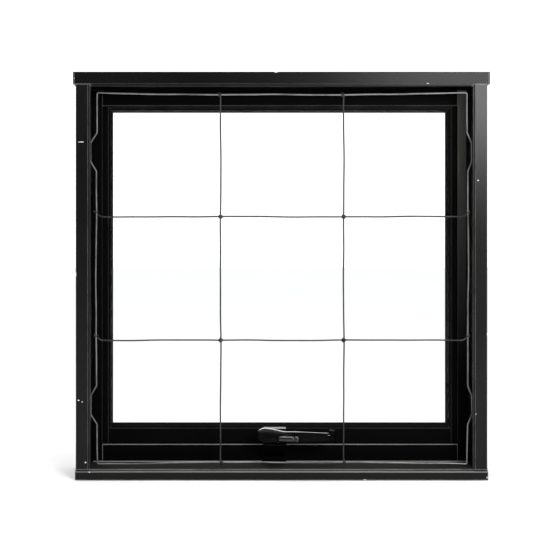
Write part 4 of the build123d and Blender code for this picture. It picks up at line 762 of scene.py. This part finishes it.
class WINDOW_OT_guard(bpy.types.Operator):
    """Wire guard: the kinked edge wire, inner wires hooked round it and thin wire tied round each crossing"""

    bl_idname = "window.guard"
    bl_label = "Wire guard"

    def execute(self, context):
        s = context.scene.window_guard
        edge_r, cell_r, stray = s.edge_radius / MM, s.cell_radius / MM, s.waviness / MM
        box_low, box_high = corners("guard_edge")
        depth = (box_low[1] + box_high[1]) / 2
        low, high = box_low[2] + edge_r, box_high[2] - edge_r
        columns = [np.mean([corner[0] for corner in corners(f"guard_upright_{name}")])
                   for name in ("left", "right")]
        rows = [corners(f"guard_rail_{name}")[0][2] + cell_r for name in ("lower", "upper")]
        middle, half = sum(columns) / 2, 1.5 * (columns[1] - columns[0])
        colour = tuple(context.scene.window_finish.wire_colour)
        zinc = zinc_wire("edge wire zinc", colour)
        # The inner wires are the edge wire's zinc painted four times darker as shade.
        shaded_zinc = zinc_wire("inner wire shaded zinc", scaled(colour, 0.25))
        route = edge_route(low, high, middle, half, box_high[0] - edge_r, columns, depth)
        edge = strayed(rounded(route, 0.8, 1.1, True), stray, 5)
        build("guard_edge_wire", [tube(edge, edge_r, Y_AXIS, 12, True)], zinc, "frame",
              ("guard_edge",))
        offset, reach = cell_r + HOOK_GAP, edge_r + cell_r + HOOK_GAP
        pitch = 2 * cell_r + COIL_GAP
        end_low, end_high = low + 0.9 * EDGE_BOW, high - 0.9 * EDGE_BOW
        for side, x, name in ((LEFT, columns[0], "left"), (RIGHT, columns[1], "right")):
            front, hook = depth - offset, depth - reach
            stem = [(x, hook, end_low), (x, hook, end_low + 3), (x, front, end_low + 11)]
            stem += [(x, front, end_high - 11), (x, hook, end_high - 3), (x, hook, end_high)]
            stem = rounded(stem, 1.5, 1.6)
            foot = coil(np.array((x, depth, end_low)), X_AXIS, -Y_AXIS, reach, HOOK_TURNS, pitch)
            head = coil(np.array((x, depth, end_high)), -X_AXIS, -Y_AXIS, reach, HOOK_TURNS, pitch)
            path = np.concatenate((foot[:0:-1], strayed(stem, stray, 11 + side), head[1:]))
            build(f"guard_upright_wire_{name}", [tube(path, cell_r, X_AXIS)], shaded_zinc, "frame",
                  (f"guard_upright_{name}",))
        for sign, z, name in ((-1, rows[0], "lower"), (1, rows[1], "upper")):
            end = half + 0.88 * EDGE_BOW
            back, hook = depth + offset, depth + reach
            stem = [(middle - end, hook, z + HOOK_RISE), (middle - end + HOOK_RUN, back, z)]
            stem += [(middle + end - HOOK_RUN, back, z), (middle + end, hook, z + HOOK_RISE)]
            stem = rounded(stem, 1.5, 1.4)
            tips = [coil(np.array((middle + side * end, depth, z + HOOK_RISE)), -side * Z_AXIS, Y_AXIS, reach,
                         HOOK_TURNS, -side * pitch) for side in SIDES]
            path = np.concatenate((tips[0][:0:-1], strayed(stem, stray, 23 + sign), tips[1][1:]))
            build(f"guard_rail_wire_{name}", [tube(path, cell_r, Z_AXIS)], shaded_zinc, "frame",
                  (f"guard_rail_{name}",))
        dark = zinc_wire("tie wire", (0.06, 0.055, 0.05))
        thin = s.tie_radius / MM
        ties = [wound_tie(np.array((x, depth, z)), lean, thin, 2 * cell_r + thin + HOOK_GAP, s.tie_turns)
                for x in columns for z in rows for lean in (1, -1)]
        build("guard_tie_wires", ties, dark, "frame", ("guard_ties",))
        return {"FINISHED"}


HINGE_SCREWS = 5
DENT_BELOW, DENT_SOFT = 0.35, 0.1  # a dent reaches only the points that lie near the screw's face


def cross_recess(radius, depth, face):
    """A cross-shaped dent in a screw's face: two bars at right angles, soft at their ends."""
    def dent(a, b, height):
        def bar(u, v):
            edge = np.clip((0.17 * radius + 0.05 - np.abs(v)) / 0.12, 0, 1)
            return edge * np.clip((0.62 * radius - np.abs(u)) / (0.2 * radius), 0, 1)
        near_face = np.clip((height - face + DENT_BELOW) / DENT_SOFT, 0, 1)
        return depth * np.maximum(bar(a, b), bar(b, a)) * near_face
    return dent


def hex_recess(radius, depth, face):
    """A six-sided dent: full depth where the largest of three turned distances is under the radius."""
    def dent(a, b, height):
        turns = [np.abs(a * np.cos(t) + b * np.sin(t)) for t in (0, pi / 3, 2 * pi / 3)]
        widest = np.maximum(np.maximum(turns[0], turns[1]), turns[2])
        near_face = np.clip((height - face + DENT_BELOW) / DENT_SOFT, 0, 1)
        return depth * np.clip((radius - widest) / 0.08, 0, 1) * near_face
    return dent


def face_rows(radius, face, crown=0.0, count=13):
    """Rows of a slightly domed round face, from its middle outwards."""
    out = np.linspace(0, 1, count)
    return [(face + crown * (1 - r * r), radius * r) for r in out]


def flat_head_screw(place, axis, head, shank, reach, depth):
    """A countersunk screw whose flat head lies at its place; the axis points out of the head."""
    rows = face_rows(head - 0.15, 0.0)
    rows += [(-0.08, head - 0.04), (-0.3, head - 0.1), (-(head - shank), shank), (-reach + 2, shank),
             (-reach, 0.3), (-reach, 0.0)]
    return turned(rows, place, axis, 56, cross_recess(head, depth, 0.0))


def pan_head_screw(place, axis, head, height, shank, reach, depth):
    """A pan-head screw that bears at its place; the axis points out of the head."""
    rows = face_rows(head * 0.72, height - 0.12, 0.12)
    rows += [(height - 0.25, head * 0.88), (height * 0.55, head * 0.98), (0.15, head), (0.0, head - 0.1),
             (0.0, shank), (-reach, shank), (-reach - 0.4, 0.0)]
    return turned(rows, place, axis, 56, cross_recess(head, depth, height - 0.12))


class WINDOW_OT_screws(bpy.types.Operator):
    """Screws of the frame, hinge, sash and operator base, with cross recesses"""

    bl_idname = "window.screws"
    bl_label = "Screws"

    def execute(self, context):
        deep = context.scene.window_hardware.recess_depth / MM
        black = plated_steel("blackened screw steel", (0.055, 0.054, 0.052), 0.36, EVEN_GRAIN, 0.2)
        sets = {}
        low, high = corners("frame_screws")
        head = 3.8
        sets["frame_screw"] = [
            flat_head_screw((side * (high[0] - head), y, z) - axis * 0.02, axis, head, 2.0, 45.0, deep * 1.3)
            for side in SIDES for y in (low[1] + head, high[1] - head)
            for z, axis in ((high[2], Z_AXIS), (low[2], -Z_AXIS))]
        low, high = corners("hinge_screws")
        middle = (low[1] + high[1]) / 2
        sets["hinge_screw"] = [
            pan_head_screw((x, middle, low[2] + 1.6), -Z_AXIS, 3.0, 1.6, 1.5, high[2] - low[2] - 2.1,
                           deep * 0.8)
            for x in np.linspace(low[0] + 3, high[0] - 3, HINGE_SCREWS)]
        low, high = corners("sash_screws")
        middle = (low[1] + high[1]) / 2
        sets["sash_screw"] = [
            pan_head_screw((side * (high[0] - 1.6), middle, z), side * X_AXIS, 3.8, 1.6, 1.9, 39.5, deep)
            for side in SIDES for z in sash_screw_heights()]
        low, high = corners("base_screws")
        middle = (low[1] + high[1]) / 2
        sets["base_screw"] = [
            pan_head_screw((x, middle, high[2] - 2.0), Z_AXIS, 3.6, 2.0, 2.0, high[2] - low[2] - 2.4, deep)
            for x in (low[0] + 3.6, high[0] - 3.6)]
        for name, parts in sets.items():
            body = "sash" if name == "sash_screw" else "frame"
            build(f"{name}_set", parts, black, body, (f"{name}s",))
        return {"FINISHED"}


def sash_screw_heights():
    """Middle heights of the sash screws: each head is a cluster of points in the CAD node's heights."""
    mesh = frame["nodes"]["sash_screws"].data
    co = np.empty(len(mesh.vertices) * 3)
    mesh.vertices.foreach_get("co", co)
    z = np.unique(np.round(co.reshape(-1, 3)[:, 2] / MM, 2))
    groups = np.split(z, np.where(np.diff(z) > 3)[0] + 1)
    return [(g[0] + g[-1]) / 2 for g in groups]


# ---------------------------------------------------------------- crank operator
SPINDLE_AT, SPINDLE_WAY = joint_place("crank_turn")
GRIP_AT, RISE_WAY = joint_place("grip_fold")
BAR_WAY = np.cross(RISE_WAY, SPINDLE_WAY)


def on_handle(x, rise, along):
    """A point from its place along the handle's bar, up its face and along the spindle."""
    return SPINDLE_AT + np.multiply.outer(x, BAR_WAY) + np.multiply.outer(rise, RISE_WAY) \
        + np.multiply.outer(along, SPINDLE_WAY)


class WINDOW_OT_operator_body(bpy.types.Operator):
    """Finishes of the operator's base, cover, bushes, pins, arms and rollers"""

    bl_idname = "window.operator_body"
    bl_label = "Operator body"

    def execute(self, context):
        s = context.scene.window_finish
        # The cover's upward faces get a painted highlight.
        enamel = cast_enamel("cover enamel", tuple(s.cover_colour), s, 0.40, 0.35, Z_AXIS, 0.42, 0.03,
                             (0.55, 0.85))
        dress(enamel, "operator_base", "operator_cover")
        dress(moulded("acetal bush", (0.20, 0.20, 0.19), 0.45), "spindle_bush_inner", "spindle_bush_outer",
              "arm_washers")
        dress(plated_steel("arm plating", (0.50, 0.50, 0.48), 0.36, (25.0, 900.0, 900.0), 0.5), "arm_left",
              "arm_right")
        dress(plated_steel("pin steel", (0.56, 0.56, 0.55), 0.3), "arm_pins", "roller_stud_left",
              "roller_stud_right")
        dress(moulded("acetal roller", (0.62, 0.60, 0.55), 0.4, 400.0, 0.00002, 0.25), "roller_left",
              "roller_right")
        return {"FINISHED"}


class WINDOW_OT_spindle(bpy.types.Operator):
    """Worm spindle with a true helical thread"""

    bl_idname = "window.spindle"
    bl_label = "Worm spindle"

    def execute(self, context):
        s = context.scene.window_hardware
        thread, pitch, half = s.thread_height / MM, 3.927, 6.5
        key = np.array([(-13.0, 0.0), (-13.0, 2.1), (-12.6, 2.5), (-6.55, 2.5), (-6.5, 3.4), (6.5, 3.4),
                        (7.2, 3.5), (8.0, 4.0), (63.4, 4.0), (63.9, 3.5), (63.9, 0.0)])
        dense = np.linspace(-half, half, 150)
        along = np.concatenate((key[:5, 0], dense[1:-1], key[5:, 0]))
        radius = np.concatenate((key[:5, 1], np.full(len(dense) - 2, key[4, 1]), key[5:, 1]))
        sides = 48
        turn = np.linspace(0, 2 * pi, sides, endpoint=False)
        phase = (along[:, None] / pitch - turn[None] / (2 * pi)) % 1.0
        ridge = np.clip((0.34 - np.abs(phase - 0.5)) / 0.14, 0, 1)
        fade = np.clip((half - 0.4 - np.abs(along)) / 1.2, 0, 1)[:, None]
        grown = radius[:, None] + thread * ridge * fade
        first = unit(np.cross(SPINDLE_WAY, X_AXIS))
        second = np.cross(SPINDLE_WAY, first)
        ring = np.cos(turn)[None, :, None] * first + np.sin(turn)[None, :, None] * second
        points = SPINDLE_AT + grown[..., None] * ring + along[:, None, None] * SPINDLE_WAY
        points = points[1:-1].reshape(-1, 3)
        rows = len(along) - 2
        fans = [np.arange(sides)[::-1], np.arange((rows - 1) * sides, rows * sides)]
        steel = plated_steel("worm steel", (0.36, 0.35, 0.33), 0.3, (800.0, 60.0, 60.0), 0.8)
        build("worm_spindle_thread", [(points, grid_faces(rows, sides), fans)], steel, "crank",
              ("worm_spindle",))
        return {"FINISHED"}


class WINDOW_OT_handle(bpy.types.Operator):
    """Crank handle, folding grip, knob and their screws"""

    bl_idname = "window.handle"
    bl_label = "Crank handle"

    def execute(self, context):
        s = context.scene.window_finish
        colour = tuple(s.handle_colour)
        # The rising side of the handle and grip gets a painted highlight.
        enamel, paddle = (cast_enamel(name, colour, s, 0.27, 0.5, RISE_WAY, 1.0)
                          for name in ("handle enamel", "grip enamel"))
        reach = float(np.dot(GRIP_AT - SPINDLE_AT, BAR_WAY))
        keys = np.array([  # place, half rise, half depth, middle rise, middle depth
            (-30.7, 0.6, 0.5, 0.0, 61.2), (-30.4, 3.2, 1.9, 0.0, 61.2), (-29.2, 6.2, 3.2, 0.0, 61.25),
            (-27.0, 8.8, 3.9, 0.0, 61.25), (-23.0, 11.2, 4.2, 0.0, 61.25), (-18.7, 12.0, 4.25, 0.0, 61.25),
            (-8.0, 11.0, 4.25, -0.1, 61.25), (0.0, 9.6, 4.25, -0.3, 61.25), (6.0, 7.6, 4.1, 0.2, 61.3),
            (11.0, 5.2, 3.8, 1.8, 61.6), (16.0, 3.9, 3.3, 3.0, 62.1), (24.0, 3.3, 3.0, 3.8, 62.5),
            (60.0, 3.2, 3.0, 3.8, 62.5), (reach + 1.0, 3.2, 3.0, 3.8, 62.5),
            (reach + 3.6, 3.0, 2.8, 3.8, 62.5), (reach + 4.7, 2.2, 2.0, 3.8, 62.5),
            (reach + 5.0, 0.8, 0.8, 3.8, 62.5)])
        at = np.concatenate((np.linspace(-30.7, -20, 24), np.linspace(-19.4, 30, 70),
                             np.linspace(31, reach, 30), np.linspace(reach + 0.4, reach + 5, 14)))
        rise_half, deep_half, rise, deep = (np.interp(at, keys[:, 0], keys[:, k]) for k in range(1, 5))
        halves = np.column_stack((rise_half, deep_half))
        body = loft(on_handle(at, rise, deep), halves, RISE_WAY, SPINDLE_WAY, 2.7)
        arc = np.linspace(0, pi, 20)
        eye = 5 * np.column_stack((np.cos(arc), np.sin(arc)))
        section = np.concatenate((eye, [(-5, -9.5), (5, -9.5)]))
        ends = [on_handle(reach, rise, 70.5) for rise in (0.7, 6.9)]
        lug = strip(section, *ends, BAR_WAY, SPINDLE_WAY)
        handle = build("crank_handle_casting", [body, lug], enamel, "crank",
                       ("crank_handle",))
        soften(handle, 0.6)
        dress(paddle, "folding_grip", "grip_pin")
        lacquer = cast_enamel("knob lacquer", colour, s, 0.2, 0.5, gloss=0.9)
        crown = context.scene.window_hardware.knob_crown / MM
        profile = [(0, 0), (0, 2.2), (0.25, 3.3), (0.9, 4.0), (2.0, 4.35), (3.6, 4.5)]
        profile += [(x, 4.5 + crown * (1 - ((x - 12) / 9) ** 2)) for x in np.linspace(5, 19, 10)]
        profile += [(22.0, 4.45), (23.8, 4.3), (24.3, 3.9), (24.6, 3.9), (24.75, 4.8), (25.1, 5.05),
                    (28.6, 5.05), (29.2, 4.85), (29.5, 4.3), (29.5, 0)]
        knob = turned(profile, on_handle(1.0, -8.4, 70.5), BAR_WAY, 48)
        build("grip_knob_turned", [knob], lacquer, "knob", ("grip_knob",))
        steel = plated_steel("set screw steel", (0.10, 0.10, 0.10), 0.3, EVEN_GRAIN, 0.1)
        profile = face_rows(1.9, 0.0) + [(-0.2, 2.0), (-7.6, 2.0), (-8.0, 1.6), (-8.0, 0.0)]
        screw = turned(profile, on_handle(-12.2, 0.0, 61.25), -BAR_WAY, 36, hex_recess(1.05, 1.8, 0.0))
        build("set_screw", [screw], steel, "crank", ("handle_set_screw",))
        return {"FINISHED"}


def soften(piece, millimetres):
    """Round a piece's sharp edges."""
    bevel = piece.modifiers.new("soft edges", "BEVEL")
    bevel.width = millimetres * MM
    bevel.segments = 3
    bevel.limit_method = "ANGLE"
    bevel.angle_limit = radians(50)


# ---------------------------------------------------------------- stage
def lamp(name, kind, place, aim, energy, **settings):
    """A lamp at a place that looks at another."""
    data = bpy.data.lights.new(name, kind)
    data.energy = energy
    for key, value in settings.items():
        setattr(data, key, value)
    made = bpy.data.objects.new(name, data)
    made.location = place
    made.rotation_mode = "QUATERNION"
    made.rotation_quaternion = (Vector(aim) - Vector(place)).to_track_quat("-Z", "Y")
    bpy.context.scene.collection.objects.link(made)
    return made


class WINDOW_OT_stage(bpy.types.Operator):
    """Pale floor, soft lights, plain surroundings and the camera"""

    bl_idname = "window.stage"
    bl_label = "Stage"

    def execute(self, context):
        s = context.scene.window_stage
        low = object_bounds()[0]
        size = 14.0
        floor = bpy.data.meshes.new("floor")
        ground = low.z - 0.0005
        plan = ((-size, -size), (size, -size), (size, size), (-size, size))
        floor.from_pydata([(x, y, ground) for x, y in plan], [], [(0, 1, 2, 3)])
        floor.materials.append(plain_floor("floor finish"))
        plane = bpy.data.objects.new("floor", floor)
        context.scene.collection.objects.link(plane)
        plane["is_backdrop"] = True
        lamp("key light", "AREA", (0.64, -1.62, 0.92), (0.24, low.y, 0.48), s.key_power,
             shape="SQUARE", size=0.6)
        lamp("fill light", "AREA", (-1.1, -1.9, 1.5), (0.0, low.y, 0.3), s.fill_power,
             shape="SQUARE", size=1.6)
        lamp("overhead light", "SUN", (0.0, 0.0, 3.0), (0.0, 0.0, 0.0), s.overhead, angle=radians(50))
        world = bpy.data.worlds.new("plain surroundings")
        context.scene.world = world
        tree = Tree(world)
        glow = tree.node("ShaderNodeBackground", {}, {"Strength": s.room_glow})
        white = tree.node("ShaderNodeBackground", {}, {"Color": (1.0, 1.0, 1.0, 1.0), "Strength": 1.3})
        seen = tree.node("ShaderNodeLightPath", {}, {}, "Is Camera Ray")
        mix = tree.node("ShaderNodeMixShader", {}, {0: seen, 1: glow, 2: white})
        tree.node("ShaderNodeOutputWorld", {}, {"Surface": mix})
        context.scene.view_settings.view_transform = "Standard"
        data = bpy.data.cameras.new("camera")
        data.lens = s.focal_length
        data.sensor_width = 36.0
        data.shift_x, data.shift_y = 0.0714, -0.0625
        camera = bpy.data.objects.new("camera", data)
        camera.location = (-0.0607, low.y - s.view_distance, 0.344)
        camera.rotation_euler = (pi / 2, 0.0, 0.0)
        context.scene.collection.objects.link(camera)
        context.scene.camera = camera
        return {"FINISHED"}


class WINDOW_PT_looks(bpy.types.Panel):
    """Sizes, colours and the steps that build the window's looks"""

    bl_idname = "WINDOW_PT_looks"
    bl_label = "Crank window"
    bl_space_type = "VIEW_3D"
    bl_region_type = "UI"
    bl_category = "Window"

    def draw(self, context):
        for group in SETTINGS:
            box = self.layout.box()
            settings = getattr(context.scene, group)
            for name in settings.__annotations__:
                box.prop(settings, name)
        for step in STEPS:
            self.layout.operator(step.bl_idname)


SETTINGS = {"window_finish": WindowFinishSettings, "window_guard": WindowGuardSettings,
            "window_hardware": WindowHardwareSettings, "window_stage": WindowStageSettings}
STEPS = (WINDOW_OT_frame_finish, WINDOW_OT_sash_finish, WINDOW_OT_glazing, WINDOW_OT_weatherseal,
         WINDOW_OT_guard, WINDOW_OT_screws, WINDOW_OT_operator_body, WINDOW_OT_spindle, WINDOW_OT_handle,
         WINDOW_OT_stage)


def register():
    """Make the settings, steps and panel known."""
    for name, group in SETTINGS.items():
        bpy.utils.register_class(group)
        setattr(bpy.types.Scene, name, bpy.props.PointerProperty(type=group))
    for cls in (*STEPS, WINDOW_PT_looks):
        bpy.utils.register_class(cls)


def unregister():
    """Take the settings, steps and panel away again."""
    for cls in (WINDOW_PT_looks, *reversed(STEPS)):
        bpy.utils.unregister_class(cls)
    for name, group in SETTINGS.items():
        delattr(bpy.types.Scene, name)
        bpy.utils.unregister_class(group)


def main():
    """Build every piece in order."""
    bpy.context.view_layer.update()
    register()
    for step in STEPS:
        group, name = step.bl_idname.split(".")
        getattr(getattr(bpy.ops, group), name)()


if __name__ == "__main__":
    main()
